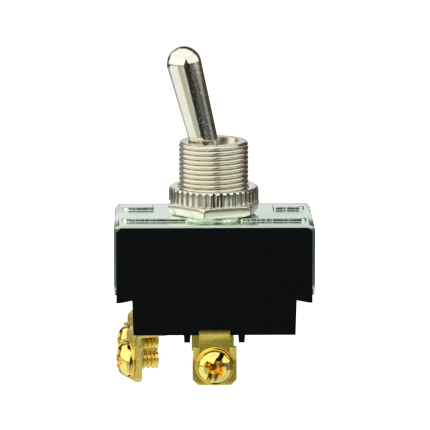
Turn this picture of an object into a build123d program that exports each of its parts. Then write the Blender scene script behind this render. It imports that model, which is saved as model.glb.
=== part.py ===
"""Double-pole panel toggle switch with a bat lever, screw terminals and a threaded mounting bushing.

Millimetres. The origin is on the bushing axis, on the raised boss of the cover where the hex nut
seats. +Z runs out of the panel along the bushing, +X along the length of the cover towards the
bare end, and -Y is the front. The lever is drawn thrown to the left (-X), which is off.
"""
import os
from math import cos, pi, radians, sin, sqrt, tan

from build123d import *

# Clearances, and how far shapes reach where they are cut or joined
slide_fit = 0.05            # between a shaft and the bore that it runs in, on the radius
seat_fit = 0.02             # between a fixed piece and the hole that holds it, on the radius
past = 1.0                  # a cutting shape beyond the face that it cuts
join = 0.5                  # a shape into the one that it is fused with

# Folded cover
cover_length = 33.8
cover_depth = 19.8
sheet = 0.4
bend_radius = 1.0           # outside of the fold
end_wall_drop = 12.3        # from the top of the sheet to the lower edge of an end wall
end_wall_corner = 2.0
boss_height = 0.6
boss_margin = 0.75          # of the top of the boss around the thread
boss_flare = 0.6            # how much wider its foot is
bead_width = 2.8
bead_height = 0.45
bead_edge = 0.35            # rounding along the top of a bead
bead_inset = 4.8            # from the long edge of the cover to the middle of a bead
bead_end_inset = 1.3        # from the end of the cover to the round end of a bead
front_bead_inner_x = 4.5
rear_bead_inner_x = 10.2
tab_width = 7.0
tab_reach = 1.9

# Threaded bushing
thread_radius = 5.95
thread_length = 12.15       # above the seat of the hex nut
thread_chamfer = 0.35
mesh_depth = 0.2            # how far the threads of the nuts reach into this one
meshed_margin = 0.1         # of the meshed stretch above the nuts
mouth_wall = 1.65           # from the thread to the mouth
throat_radius = 3.15
bushing_bore = 3.8
flange_lip = 0.25           # of the flange beyond the thread
pivot_height = 5.55
seat_rise = 1.2             # pivot to the lower edge of the conical lever seat
throat_rise = 2.4           # pivot to the throat

# Lever
rest_tilt = 14.1            # degrees from upright, either way
ball_radius = 3.6
neck_radius = 1.9
waist_radius = 2.42         # where the lever leaves the mouth of the bushing
tip_radius = 2.95
tip_reach = 20.43           # pivot to the centre of the rounded tip
tail_radius = 1.6
tail_reach = 11.8
tail_chamfer = 0.3
pin_radius = 1.0
pin_length = 9.4
pin_chamfer = 0.2
pin_end_gap = 0.2           # from an end of the pin to the end of its groove

# Nuts
hex_wall = 1.15             # from the thread to a flat
hex_thickness = 1.8
hex_turn = 17.8             # degrees that a corner stands ahead of +X
hex_chamfer = 0.6           # turned off a corner, along the face
hex_chamfer_drop = 0.33     # turned off a corner, down its edge
knurl_wall = 1.7            # from the thread to the tips of the teeth
knurl_thickness = 2.6
knurl_teeth = 40
knurl_depth = 0.5
knurl_gap = 0.5             # share of a tooth pitch that is cut away
knurl_sink = 0.35           # width of the countersink around the thread
knurl_chamfer = 0.3

# Moulded housing
cover_overhang = 0.05       # of the cover past the front and the rear of the housing
top_chamfer = 0.75
shoulder_drop = 13.3        # from the top of the sheet to the outer edge of a shoulder
shoulder_lip = 0.6
shoulder_rise = 0.4         # how much higher the inner corner of a shoulder is
shoulder_width = 2.65       # how far the lower block is set in from an end
base_draft = 0.17           # how much further in its foot is
base_drop = 18.85           # from the top of the sheet to the underside
floor_thickness = 2.2
cavity_wall = 1.5           # front and rear walls
cavity_end_wall = 1.85
partition_width = 1.5
partition_clearance = 0.95  # under the lowest sweep of the carrier hub
rib_gap = 4.0               # from the centre line to the inner face of a barrier rib
rib_width = 1.2
rib_height = 1.4
rib_setback = 0.55          # of an end of a rib from the front or the rear
rib_taper = 0.1
rib_root = 0.1              # height of the rib inside the base

# Insulating liner under the cover
liner_thickness = 0.4
liner_ledge = 0.75
liner_slot_length = 8.6
liner_slot_width = 4.4

# Plunger carrier on the lever tail
hub_top = 8.4               # distances below the pivot, along the lever
hub_bottom = 12.6
hub_half = 2.6
hub_corner = 0.6
bar_top = 9.6
bar_half = 2.0
socket_radius = 2.1
socket_bottom = 15.4
spring_seat = 10.8
tail_end_gap = 0.2
plunger_radius = 1.45
plunger_top = 13.4
plunger_reach = 19.05
plunger_chamfer = 0.2
spring_wire = 0.32
spring_turns = 4
spring_gap = 0.1            # between the coil and the wall of its socket

# Rocker contacts
rocker_tilt = 4.5           # degrees either way
rocker_gap = 0.08           # under the plunger, with the lever upright
rocker_thickness = 0.8
rocker_width = 4.2
rocker_flat = 1.2           # half length of the level middle
rocker_rise = 12.0          # degrees that an arm climbs
rocker_end_gap = 1.8        # from an end of the rocker to the end wall of its pit
contact_inset = 1.6         # from an end of the rocker to the contact
bend_inset = 2.0            # from the contact to the outer bend of an arm
contact_radius = 1.5
contact_thickness = 0.6
contact_bevel = 0.2
contact_gap = 0.05          # left between the faces when the lever is thrown right
button_tail = 0.3           # height of the riveted tail of a moving contact
button_flare = 0.3          # how far it spreads
button_rise = 0.05          # above the rocker
trunnion_reach = 0.95
ear_gap = 0.25
ear_thickness = 0.6
cradle_foot = 0.6
cradle_half = 2.6
cradle_neck = 1.3
stop_inset = 0.4            # of the stop inside the middle of the contact
stop_length = 2.4
stop_width = 3.6

# Rivets through the floor
stud_head_radius = 1.8
stud_head = 1.0
stud_radius = 1.2
pedestal_radius = 2.6
rivet_head = 0.5
rivet_bevel = 0.3

# Terminals
terminal_thickness = 1.0
terminal_bend = 1.3         # outside of the fold
strip_width = 5.1
plate_width = 7.4
plate_top_drop = 20.6       # from the top of the sheet to the shoulders of a centre terminal's plate
end_plate_top_drop = 21.0
plate_bottom_drop = 27.15
plate_chamfer = 0.95
ear_width = 1.15
ear_height = 1.9
ear_proud = 0.3
screw_drop = 23.78
collar_radius = 2.5
collar_length = 0.6
centre_foot_drop = 18.3     # from the top of the sheet to the upper face of the foot
notch_rise = 0.35           # how much higher the mouth of a foot channel is
notch_depth = 1.5
notch_radius = 0.3
centre_proud = 1.35         # outer face of the plate in front of the housing
end_foot_recess = 0.25      # how deep the foot of an end terminal sits in the underside
end_proud = 0.49            # outer face of the plate beyond the foot of the block
end_inset = 3.45            # from the front of the housing to the middle of an end terminal
end_twist = 16.0            # degrees about the vertical
end_stub = 0.8              # straight length of the foot behind its fold
end_mouth = 1.2             # reach of the channel behind the fold
foot_pad_radius = 2.3
channel_gap = 0.1

# Terminal screws
screw_radius = 1.725
screw_length = 4.5
screw_chamfer = 0.4
head_radius = 3.05
head_rim = 0.55
head_height = 2.35
slot_width = 0.85
slot_depth = 1.15
slot_turn = 30.0            # degrees of the slot from vertical
cross_length = 3.3
cross_width = 0.95
cross_depth = 1.5

# Sizes, levels and places that follow from the sizes above
meshed_radius = thread_radius - mesh_depth
mouth_radius = thread_radius - mouth_wall
flange_radius = thread_radius + flange_lip
boss_top_radius = thread_radius + boss_margin
boss_base_radius = boss_top_radius + boss_flare
hex_flats = 2 * (thread_radius + hex_wall)
knurl_radius = thread_radius + knurl_wall
knurl_mouth_radius = thread_radius + knurl_sink
plate_top = -boss_height
housing_top = plate_top - sheet
housing_half = cover_length / 2 - sheet
housing_depth = cover_depth - 2 * cover_overhang
base_top_half = housing_half - shoulder_width
base_foot_half = base_top_half - base_draft
base_z = plate_top - base_drop
floor_z = base_z + floor_thickness
cavity_half = base_top_half - cavity_end_wall
cavity_half_depth = housing_depth / 2 - cavity_wall
bead_y = cover_depth / 2 - bead_inset
bead_outer_x = cover_length / 2 - bead_end_inset
meshed_top = hex_thickness + knurl_thickness + meshed_margin
pole_y = (cavity_half_depth + partition_width / 2) / 2
partition_z = pivot_height - hub_bottom - partition_clearance
tip_centre_reach = plunger_reach - plunger_radius
rocker_z = pivot_height - plunger_reach - rocker_gap - rocker_thickness / 2
rocker_half = cavity_half - rocker_end_gap
contact_x = rocker_half - contact_inset
rocker_bend_x = contact_x - bend_inset
centre_foot_z = plate_top - centre_foot_drop
end_foot_z = base_z + end_foot_recess
screw_z = plate_top - screw_drop
plate_top_z = plate_top - plate_top_drop
end_plate_top_z = plate_top - end_plate_top_drop
plate_bottom_z = plate_top - plate_bottom_drop
centre_face_y = housing_depth / 2 + centre_proud
end_face_x = base_foot_half + end_proud
end_y = housing_depth / 2 - end_inset
lever_place = Pos(0, 0, pivot_height) * Rot(0, -rest_tilt, 0)
half_turn = Rot(0, 0, 180)
sides = {"front": -1, "rear": 1}


def turned(points):
    """A solid of revolution about Z from (radius, z) points."""
    face = make_face(Plane.XZ * Polyline(*points, close=True))
    return revolve(face, Axis.Z)


def long_section(points, depth, y=0.0):
    """A profile drawn in (x, z), carried along Y and centred on y."""
    face = make_face(Plane.XZ * Polyline(*points, close=True))
    return Pos(0, y, 0) * extrude(face, depth / 2, both=True)


def block(x0, x1, y0, y1, z0, z1):
    """A box between two corners."""
    return Pos((x0 + x1) / 2, (y0 + y1) / 2, (z0 + z1) / 2) * Box(x1 - x0, y1 - y0, z1 - z0)


def rod(radius, z0, z1, x=0.0, y=0.0):
    """An upright cylinder between two levels."""
    return Pos(x, y, (z0 + z1) / 2) * Cylinder(radius, z1 - z0)


def rounded_slot(length, width, z0, z1):
    """An upright slot with round ends."""
    outline = Plane.XY.offset(z0) * SlotOverall(length, width)
    return extrude(outline, z1 - z0)


def bead(inner_x, end, y, shrink, z0, z1, edge):
    """A raised rib of the cover: round at its outer end, square at its inner end."""
    width = bead_width - 2 * shrink
    centre = bead_outer_x - shrink - width / 2
    outline = Pos(centre, 0) * Circle(width / 2)
    outline += Pos((inner_x + centre) / 2, 0) * Rectangle(centre - inner_x, width)
    body = extrude(Plane.XY.offset(z0) * outline, z1 - z0)
    body = fillet(body.edges().group_by(Axis.Z)[-1], edge)
    return Pos(0, y, 0) * (body if end > 0 else half_turn * body)


def metal_cover():
    """Sheet folded down over both ends, with a round boss, four beads and two crimp tabs."""
    half = cover_length / 2
    foot = plate_top - end_wall_drop
    outer = long_section([(-half, foot), (-half, plate_top), (half, plate_top), (half, foot)],
                         cover_depth)
    outer = fillet(outer.edges().filter_by(Axis.Y).group_by(Axis.Z)[-1], bend_radius)
    inner = long_section([(-housing_half, foot - past), (-housing_half, housing_top),
                          (housing_half, housing_top), (housing_half, foot - past)],
                         cover_depth + 2 * past)
    inner = chamfer(inner.edges().filter_by(Axis.Y).group_by(Axis.Z)[-1], top_chamfer)
    corners = outer.edges().filter_by(Axis.X).group_by(Axis.Z)[0]
    cover = fillet(corners, end_wall_corner) - inner
    slope = boss_base_radius - boss_top_radius
    cover += turned([(0, plate_top), (boss_base_radius, plate_top), (boss_top_radius, 0), (0, 0)])
    top = plate_top + bead_height
    for name, side in sides.items():
        inner_x = front_bead_inner_x if name == "front" else rear_bead_inner_x
        for end in (-1, 1):
            cover += bead(inner_x, end, side * bead_y, 0, plate_top - sheet / 2, top, bead_edge)
            cover -= bead(inner_x + sheet, end, side * bead_y, sheet,
                          housing_top, top - sheet, bead_edge / 2)
    dish = boss_base_radius - sheet
    cover -= turned([(0, housing_top - join), (dish, housing_top - join), (dish, housing_top),
                     (dish - slope, -sheet), (0, -sheet)])
    cover -= rod(thread_radius + seat_fit, housing_top, past)
    tab_z = plate_top - shoulder_drop + shoulder_rise
    tab_half = tab_width / 2
    for end in (-1, 1):
        tab = block(housing_half, half, -tab_half, tab_half, tab_z - sheet, foot + join)
        tab += block(half - tab_reach, half, -tab_half, tab_half, tab_z - sheet, tab_z)
        cover += tab if end > 0 else half_turn * tab
    return cover


def threaded_bushing():
    """Turned bushing: flange under the cover, lever seat and mouth, two grooves for the pivot pin."""
    rim = thread_radius - thread_chamfer
    step = thread_radius - meshed_radius
    foot = housing_top
    body = turned([(bushing_bore, foot), (flange_radius, foot), (flange_radius, -sheet),
                   (thread_radius, -sheet), (thread_radius, -step), (meshed_radius, 0),
                   (meshed_radius, meshed_top - step), (thread_radius, meshed_top),
                   (thread_radius, thread_length - thread_chamfer), (rim, thread_length),
                   (mouth_radius, thread_length), (throat_radius, pivot_height + throat_rise),
                   (bushing_bore, pivot_height + seat_rise)])
    groove = pin_radius + slide_fit
    length = pin_length + 2 * pin_end_gap
    body -= block(-groove, groove, -length / 2, length / 2, foot - past, pivot_height)
    return body - Pos(0, 0, pivot_height) * Rot(90, 0, 0) * Cylinder(groove, length)


def hex_nut():
    """Plain hex nut with its outer corners turned off on both faces."""
    corner = hex_flats / sqrt(3)
    face = corner - hex_chamfer
    top = hex_thickness
    blank = extrude(RegularPolygon(corner, 6, rotation=hex_turn), top)
    blank &= turned([(0, 0), (face, 0), (corner, hex_chamfer_drop), (corner, top - hex_chamfer_drop),
                     (face, top), (0, top)])
    return blank - rod(thread_radius + slide_fit, -past, top + past)


def knurled_nut():
    """Thin ring nut with square teeth cut along its rim."""
    low = hex_thickness
    top = low + knurl_thickness
    bore = thread_radius + slide_fit
    edge = knurl_radius - knurl_chamfer
    ring = turned([(bore, low), (edge, low), (knurl_radius, low + knurl_chamfer),
                   (knurl_radius, top - knurl_chamfer), (edge, top), (knurl_mouth_radius, top),
                   (bore, top - (knurl_mouth_radius - thread_radius))])
    pitch = 2 * pi * knurl_radius / knurl_teeth
    tooth_gap = Rectangle(2 * knurl_depth, pitch * knurl_gap)
    gaps = PolarLocations(knurl_radius, knurl_teeth) * tooth_gap
    return ring - extrude(Plane.XY.offset(low - past) * Sketch(gaps), knurl_thickness + 2 * past)


def toggle_lever():
    """Bat lever: rounded tip, tapered shank, ball in the bushing and a straight tail."""
    mouth = thread_length - pivot_height
    shank = turned([(0, -tail_reach), (tail_radius - tail_chamfer, -tail_reach),
                    (tail_radius, tail_chamfer - tail_reach), (tail_radius, 0), (neck_radius, 0),
                    (neck_radius, ball_radius), (waist_radius, mouth), (tip_radius, tip_reach),
                    (0, tip_reach)])
    shank += Sphere(ball_radius)
    shank += Pos(0, 0, tip_reach) * Sphere(tip_radius)
    shank -= Rot(90, 0, 0) * Cylinder(pin_radius + seat_fit, 2 * (ball_radius + past))
    return lever_place * shank


def lever_pivot_pin():
    """Cross pin through the ball, its ends in the grooves of the bushing."""
    pin = Rot(90, 0, 0) * Cylinder(pin_radius, pin_length)
    pin = chamfer(pin.edges().filter_by(GeomType.CIRCLE), pin_chamfer)
    return lever_place * pin


def plunger_carrier():
    """Moulded cross bar on the lever tail, with a spring socket over each rocker."""
    hub = block(-hub_half, hub_half, -hub_half, hub_half, -hub_bottom, -hub_top)
    hub = fillet(hub.edges().filter_by(Axis.Z), hub_corner)
    body = hub + block(-bar_half, bar_half, -pole_y, pole_y, -hub_bottom, -bar_top)
    for side in sides.values():
        body += rod(socket_radius, -socket_bottom, -bar_top, y=side * pole_y)
    bore = plunger_radius + slide_fit
    for side in sides.values():
        body -= rod(bore, -socket_bottom - past, -spring_seat, y=side * pole_y)
    body -= rod(tail_radius + seat_fit, -tail_reach - tail_end_gap, past - hub_top)
    return lever_place * body


def plunger(side):
    """Round-nosed pin that presses on a rocker."""
    body = rod(plunger_radius, -tip_centre_reach, -plunger_top)
    body += Pos(0, 0, -tip_centre_reach) * Sphere(plunger_radius)
    body = chamfer(body.edges().filter_by(GeomType.CIRCLE).sort_by(Axis.Z)[-1], plunger_chamfer)
    return lever_place * Pos(0, side * pole_y, 0) * body


def plunger_spring(side):
    """Coil spring between the blind end of the socket and the plunger."""
    wire = spring_wire / 2
    low, high = -plunger_top + wire + seat_fit, -spring_seat - wire - seat_fit
    coil = Helix((high - low) / spring_turns, high - low, plunger_radius - wire - spring_gap)
    section = Plane(coil @ 0, z_dir=coil % 0) * RegularPolygon(wire, 6)
    spring = sweep(section, path=coil, is_frenet=True)
    return lever_place * Pos(0, side * pole_y, low) * spring


def rocker_line(offset):
    """Points along the right half of the rocker, offset down from its top face."""
    rise = tan(radians(rocker_rise))
    end_rise = tan(radians(rocker_tilt))
    top = rocker_thickness / 2 - offset
    bend_z = top + (rocker_bend_x - rocker_flat) * rise
    end_z = bend_z + (rocker_half - rocker_bend_x) * end_rise
    return [(rocker_flat, top), (rocker_bend_x, bend_z), (rocker_half, end_z)]


def rocker_under_z(x):
    """Height of the rocker's underside over its trunnions, on the end stretch at x."""
    corner_x, corner_z = rocker_line(rocker_thickness)[1]
    return corner_z + (x - corner_x) * tan(radians(rocker_tilt))


def rocker_place(side):
    """Rests tilted with its left end up, as the plunger on the right holds it."""
    return Pos(0, side * pole_y, rocker_z) * Rot(0, rocker_tilt, 0)


def contact_seat():
    """Underside of a rocker at its contact, which faces down when the contacts are closed."""
    return Pos(-contact_x, 0, rocker_under_z(contact_x)) * Rot(0, rocker_tilt, 0)


def rocker(side):
    """Dished see-saw strip with two trunnions and a hole for its contact."""
    right_top, right_low = rocker_line(0), rocker_line(rocker_thickness)
    left_top = [(-x, z) for x, z in reversed(right_top)]
    left_low = [(-x, z) for x, z in right_low]
    strip = long_section(left_top + right_top + right_low[::-1] + left_low, rocker_width)
    strip += Rot(90, 0, 0) * Cylinder(rocker_thickness / 2, rocker_width + 2 * trunnion_reach)
    hole = contact_seat() * rod(contact_radius / 2 + seat_fit, -past, rocker_thickness + past)
    return rocker_place(side) * (strip - hole)


def moving_contact(side):
    """Silver button riveted through the left end of a rocker."""
    low = -contact_thickness
    shank = contact_radius / 2
    tail = rocker_thickness + button_rise
    button = turned([(0, low), (contact_radius - contact_bevel, low),
                     (contact_radius, low + contact_bevel), (contact_radius, 0), (shank, 0),
                     (shank, tail), (shank + button_flare, tail),
                     (shank + button_flare / 3, tail + button_tail), (0, tail + button_tail)])
    return rocker_place(side) * contact_seat() * button


def closed_point(x, z):
    """Where a point (x, z) of the rocker stands once the lever is thrown right."""
    turn = radians(rocker_tilt)
    return x * cos(turn) - z * sin(turn), rocker_z + x * sin(turn) + z * cos(turn)


def closed_contact():
    """Where the face of the moving contact stands once the contacts are closed."""
    return closed_point(-contact_x, rocker_under_z(contact_x) - contact_thickness)


def fixed_contact_level():
    """Top of the fixed contact, just under the closed moving contact."""
    return closed_contact()[1] - contact_gap


def fixed_contact_x():
    """Centre of the fixed contact along X."""
    return closed_contact()[0]


def fixed_contact(side):
    """Silver-faced stud through the pedestal and floor, flush under the terminal foot."""
    top = fixed_contact_level()
    low = end_foot_z - terminal_thickness
    stud = turned([(0, low), (stud_radius, low), (stud_radius, top - stud_head),
                   (stud_head_radius, top - stud_head), (stud_head_radius, top - contact_bevel),
                   (stud_head_radius - contact_bevel, top), (0, top)])
    return Pos(fixed_contact_x(), side * pole_y, 0) * stud


def cradle(side):
    """U-shaped brass carrier: a foot on the floor and two notched ears beside the rocker."""
    inner = rocker_width / 2 + ear_gap
    outer = inner + ear_thickness
    ear_top = rocker_z + rocker_thickness
    ear = long_section([(-cradle_half, floor_z), (cradle_half, floor_z), (cradle_neck, rocker_z),
                        (cradle_neck, ear_top), (-cradle_neck, ear_top), (-cradle_neck, rocker_z)],
                       ear_thickness)
    body = block(-cradle_half, cradle_half, -outer, outer, floor_z, floor_z + cradle_foot)
    for ear_side in (-1, 1):
        body += Pos(0, ear_side * (inner + outer) / 2, 0) * ear
    gap = rocker_thickness / 2 + slide_fit
    body -= block(-gap, gap, -outer - past, outer + past, rocker_z, ear_top + past)
    body -= Pos(0, 0, rocker_z) * Rot(90, 0, 0) * Cylinder(gap, 2 * (outer + past))
    body -= rod(stud_radius + seat_fit, floor_z - past, floor_z + cradle_foot + past)
    return Pos(0, side * pole_y, 0) * body


def cradle_rivet(side):
    """Rivet that clamps the cradle to the foot of the centre terminal."""
    low = centre_foot_z - terminal_thickness
    head_z = floor_z + cradle_foot
    top = head_z + rivet_head
    rivet = turned([(0, low), (stud_radius, low), (stud_radius, head_z), (stud_head_radius, head_z),
                    (stud_head_radius - rivet_bevel, top), (0, top)])
    return Pos(0, side * pole_y, 0) * rivet


def terminal_strip(foot_z, foot_length):
    """Bent strip: its outer face stands at x = 0 and its foot runs to -x, rounded at the fold."""
    thick = terminal_thickness
    strip = long_section([(-foot_length, foot_z - thick), (-foot_length, foot_z), (0, foot_z),
                          (0, plate_bottom_z), (-thick, plate_bottom_z), (-thick, foot_z - thick)],
                         strip_width)
    outside = strip.edges().filter_by(Axis.Y).sort_by_distance((0, 0, foot_z))[0]
    strip = fillet(outside, terminal_bend)
    inside = strip.edges().filter_by(Axis.Y).sort_by_distance((-thick, 0, foot_z - thick))[0]
    return fillet(inside, terminal_bend - thick)


def screw_plate(top_z):
    """Wide plate below top_z at the lower end of a terminal, with two ears beside the screw head."""
    thick, half, cut = terminal_thickness, plate_width / 2, plate_chamfer
    outline = Polyline((-half, top_z), (half, top_z), (half, plate_bottom_z + cut),
                       (half - cut, plate_bottom_z), (cut - half, plate_bottom_z),
                       (-half, plate_bottom_z + cut), close=True)
    plate = Pos(-thick, 0, 0) * extrude(make_face(Plane.YZ * outline), thick)
    head_room = Cylinder(head_radius + channel_gap, 2 * ear_proud)
    head_room = Pos(ear_proud, 0, screw_z) * Rot(0, 90, 0) * head_room
    for side in (-1, 1):
        y0, y1 = sorted((side * half, side * (half - ear_width)))
        plate += block(-thick, ear_proud, y0, y1, top_z - ear_height, top_z) - head_room
    return plate


def terminal_leg(foot_z, foot_length, top_z):
    """Terminal standing with its outer face at x = 0, with a threaded collar behind its plate."""
    thick = terminal_thickness
    leg = terminal_strip(foot_z, foot_length) + screw_plate(top_z)
    centre = Pos(0, 0, screw_z) * Rot(0, 90, 0)
    leg += centre * Pos(0, 0, -thick - collar_length / 2) * Cylinder(collar_radius, collar_length)
    return leg - centre * Cylinder(screw_radius + slide_fit, 2 * (thick + collar_length + past))


def centre_place(side):
    """Stands the outer face of a terminal in front of, or behind, the housing."""
    return Pos(0, side * centre_face_y, 0) * Rot(0, 0, side * 90)


def end_place(side):
    """Stands the outer face of a terminal beyond the left end, twisted a little to the front."""
    return Pos(-end_face_x, side * end_y, 0) * Rot(0, 0, 180 + end_twist)


def centre_terminal(side):
    """Common terminal of one pole, its foot under the cradle rivet."""
    reach = centre_face_y - pole_y + foot_pad_radius
    leg = centre_place(side) * terminal_leg(centre_foot_z, reach, plate_top_z)
    hole = stud_radius + seat_fit
    return leg - rod(hole, centre_foot_z - terminal_thickness - past, centre_foot_z + past, y=side * pole_y)


def end_foot_outline(side, margin):
    """Outline of the pad under an end terminal's rivet, drawn out to the fold."""
    pad = Pos(fixed_contact_x(), side * pole_y) * Circle(foot_pad_radius + margin)
    stub = Pos(-terminal_bend - end_stub / 2) * Rectangle(end_stub, strip_width + 2 * margin)
    stub = Pos(-end_face_x, side * end_y) * Rot(0, 0, 180 + end_twist) * stub
    return make_hull(pad.edges() + stub.edges())


def end_terminal(side):
    """Switched terminal of one pole, its foot under the fixed contact."""
    leg = end_place(side) * terminal_leg(end_foot_z, terminal_bend + end_stub, end_plate_top_z)
    low = end_foot_z - terminal_thickness
    leg += extrude(Plane.XY.offset(low) * end_foot_outline(side, 0), terminal_thickness)
    hole = stud_radius + seat_fit
    return leg - rod(hole, low - past, end_foot_z + past, x=fixed_contact_x(), y=side * pole_y)


def terminal_screw():
    """Binding screw along x with its head outside: slot and cross recess in a domed head."""
    crown = head_height - head_rim
    dome = (head_radius ** 2 + crown ** 2) / (2 * crown)
    head = rod(head_radius, 0, head_height) & Pos(0, 0, head_height - dome) * Sphere(dome)
    slot_end = head_radius + past
    slot = block(-slot_width / 2, slot_width / 2, -slot_end, slot_end,
                 head_height - slot_depth, head_height + past)
    cross = block(-cross_width / 2, cross_width / 2, -cross_length / 2, cross_length / 2,
                  head_height - cross_depth, head_height + past)
    head = head - slot - cross - Rot(0, 0, 90) * cross
    shank = rod(screw_radius, -screw_length, 0)
    shank = chamfer(shank.edges().group_by(Axis.Z)[0], screw_chamfer)
    seat = Pos(seat_fit, 0, screw_z) * Rot(0, 90, 0) * Rot(0, 0, 90 - slot_turn)
    return seat * (head + shank)


def housing_shell():
    """Outside of the moulded body with the open cavity and the ledge for the liner."""
    shoulder = plate_top - shoulder_drop
    right = [(housing_half - top_chamfer, housing_top), (housing_half, housing_top - top_chamfer),
             (housing_half, shoulder), (housing_half - shoulder_lip, shoulder),
             (base_top_half, shoulder + shoulder_rise), (base_foot_half, base_z)]
    left = [(-x, z) for x, z in reversed(right)]
    body = long_section(left + right, housing_depth)
    deep, wide = cavity_half_depth, cavity_half
    body -= block(-wide, wide, -deep, deep, partition_z, housing_top + past)
    ledge = liner_ledge + seat_fit
    body -= block(-wide - ledge, wide + ledge, -deep - ledge, deep + ledge,
                  housing_top - liner_thickness, housing_top + past)
    tab_half = tab_width / 2 + channel_gap
    tab_x = cover_length / 2 - tab_reach - channel_gap
    notch = block(tab_x, housing_half + past, -tab_half, tab_half, shoulder - past, shoulder + shoulder_rise)
    return body - notch - half_turn * notch


def contact_stop(side):
    """Block on the floor of a pit that the right end of its rocker comes to rest on."""
    x = contact_x - stop_inset
    top = closed_point(-contact_x, rocker_under_z(contact_x))[1] - contact_gap
    stop = block(x, x + stop_length, -stop_width / 2, stop_width / 2, floor_z - join, top)
    return Pos(0, side * pole_y, 0) * stop


def centre_channel(side):
    """Channel in the underside for the foot of a centre terminal, open at the wall."""
    half = strip_width / 2 + channel_gap
    inner = pole_y - foot_pad_radius - channel_gap
    outer = housing_depth / 2 + past
    y0, y1 = sorted((side * inner, side * outer))
    channel = block(-half, half, y0, y1, base_z - past, centre_foot_z)
    y0, y1 = sorted((side * (housing_depth / 2 - notch_depth), side * outer))
    mouth = block(-half, half, y0, y1, base_z - past, centre_foot_z + notch_rise)
    return channel + fillet(mouth.edges().filter_by(Axis.Y).group_by(Axis.Z)[-1], notch_radius)


def end_channel(side):
    """Recess in the underside for the foot of an end terminal, open at the end wall."""
    half = strip_width / 2 + channel_gap
    pad = extrude(Plane.XY.offset(base_z - past) * end_foot_outline(side, channel_gap),
                  past + end_foot_recess)
    mouth = block(-terminal_bend - end_mouth, past, -half, half, base_z - past, end_foot_z)
    return pad + end_place(side) * mouth


def barrier_rib(side):
    """Tapered rib under the base beside the centre terminals."""
    x0, x1 = rib_gap, rib_gap + rib_width
    rib = long_section([(x0, base_z + rib_root), (x1, base_z + rib_root),
                        (x1 - rib_taper, base_z - rib_height), (x0 + rib_taper, base_z - rib_height)],
                       housing_depth - 2 * rib_setback)
    return rib if side > 0 else half_turn * rib


def switch_housing():
    """Moulded body: shoulders for the cover, two contact pits, pedestals, ribs and channels."""
    body = housing_shell()
    hole = stud_radius + seat_fit
    low, x = base_z - past, fixed_contact_x()
    pedestal_top = fixed_contact_level() - stud_head
    for side in sides.values():
        y = side * pole_y
        y0, y1 = sorted((side * partition_width / 2, side * cavity_half_depth))
        body -= block(-cavity_half, cavity_half, y0, y1, floor_z, partition_z + past)
        body += rod(pedestal_radius, floor_z - join, pedestal_top, x=x, y=y)
        body += contact_stop(side)
        body -= centre_channel(side) + end_channel(side)
        body -= rod(hole, low, pedestal_top + past, x=x, y=y)
        body -= rod(hole, low, floor_z + join, y=y)
        body += barrier_rib(side)
    return body


def cover_insulator():
    """Fibre sheet on the ledge under the cover, slotted for the lever tail."""
    wide, deep = cavity_half + liner_ledge, cavity_half_depth + liner_ledge
    low = housing_top - liner_thickness
    liner = block(-wide, wide, -deep, deep, low, housing_top)
    return liner - rounded_slot(liner_slot_length, liner_slot_width, low - past, housing_top + past)


def all_parts():
    """Every piece by name."""
    parts = {
        "toggle_lever": toggle_lever(),
        "lever_pivot_pin": lever_pivot_pin(),
        "threaded_bushing": threaded_bushing(),
        "hex_nut": hex_nut(),
        "knurled_nut": knurled_nut(),
        "metal_cover": metal_cover(),
        "switch_housing": switch_housing(),
        "cover_insulator": cover_insulator(),
        "plunger_carrier": plunger_carrier(),
    }
    for name, side in sides.items():
        parts[f"plunger_{name}"] = plunger(side)
        parts[f"plunger_spring_{name}"] = plunger_spring(side)
        parts[f"rocker_{name}"] = rocker(side)
        parts[f"moving_contact_{name}"] = moving_contact(side)
        parts[f"fixed_contact_{name}"] = fixed_contact(side)
        parts[f"rocker_cradle_{name}"] = cradle(side)
        parts[f"cradle_rivet_{name}"] = cradle_rivet(side)
        parts[f"centre_terminal_{name}"] = centre_terminal(side)
        parts[f"end_terminal_{name}"] = end_terminal(side)
        parts[f"centre_screw_{name}"] = centre_place(side) * terminal_screw()
        parts[f"end_screw_{name}"] = end_place(side) * terminal_screw()
    return parts


os.makedirs("parts", exist_ok=True)
for node, shape in all_parts().items():
    export_step(shape, f"parts/{node}.step")
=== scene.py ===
"""Looks of a double-pole panel toggle switch: nickel lever, threaded bushing and nuts, zinc-plated
cover, black moulded body and brass screw terminals.

Metres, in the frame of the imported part: the origin is on the bushing axis at the seat of the hex
nut, +Z runs out of the panel, +X along the cover, and -Y is the front.
"""

import logging
from collections.abc import Sequence
from dataclasses import dataclass, field
from enum import Enum
from math import cos, radians, sin
from typing import ClassVar

import bmesh
import bpy
import numpy as np
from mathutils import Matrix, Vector


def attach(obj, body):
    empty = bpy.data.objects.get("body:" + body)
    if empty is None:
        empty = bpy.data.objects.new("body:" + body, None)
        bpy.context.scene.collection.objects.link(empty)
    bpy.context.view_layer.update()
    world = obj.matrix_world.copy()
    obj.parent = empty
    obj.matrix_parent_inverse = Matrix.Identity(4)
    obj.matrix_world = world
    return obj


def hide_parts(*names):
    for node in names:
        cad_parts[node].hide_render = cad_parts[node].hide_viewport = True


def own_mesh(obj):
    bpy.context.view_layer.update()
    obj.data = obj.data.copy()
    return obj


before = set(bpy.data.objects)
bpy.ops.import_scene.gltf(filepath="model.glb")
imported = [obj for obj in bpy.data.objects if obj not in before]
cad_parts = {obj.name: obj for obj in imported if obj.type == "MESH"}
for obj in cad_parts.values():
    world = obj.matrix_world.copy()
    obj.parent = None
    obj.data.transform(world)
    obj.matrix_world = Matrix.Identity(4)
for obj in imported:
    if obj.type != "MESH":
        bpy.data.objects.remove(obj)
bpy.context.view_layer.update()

MM = 0.001
log = logging.getLogger("toggle_switch")
Array = np.ndarray
Piece = bpy.types.Object
Socket = bpy.types.NodeSocket
Pair = tuple[float, float]
Triple = tuple[float, float, float]
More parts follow.
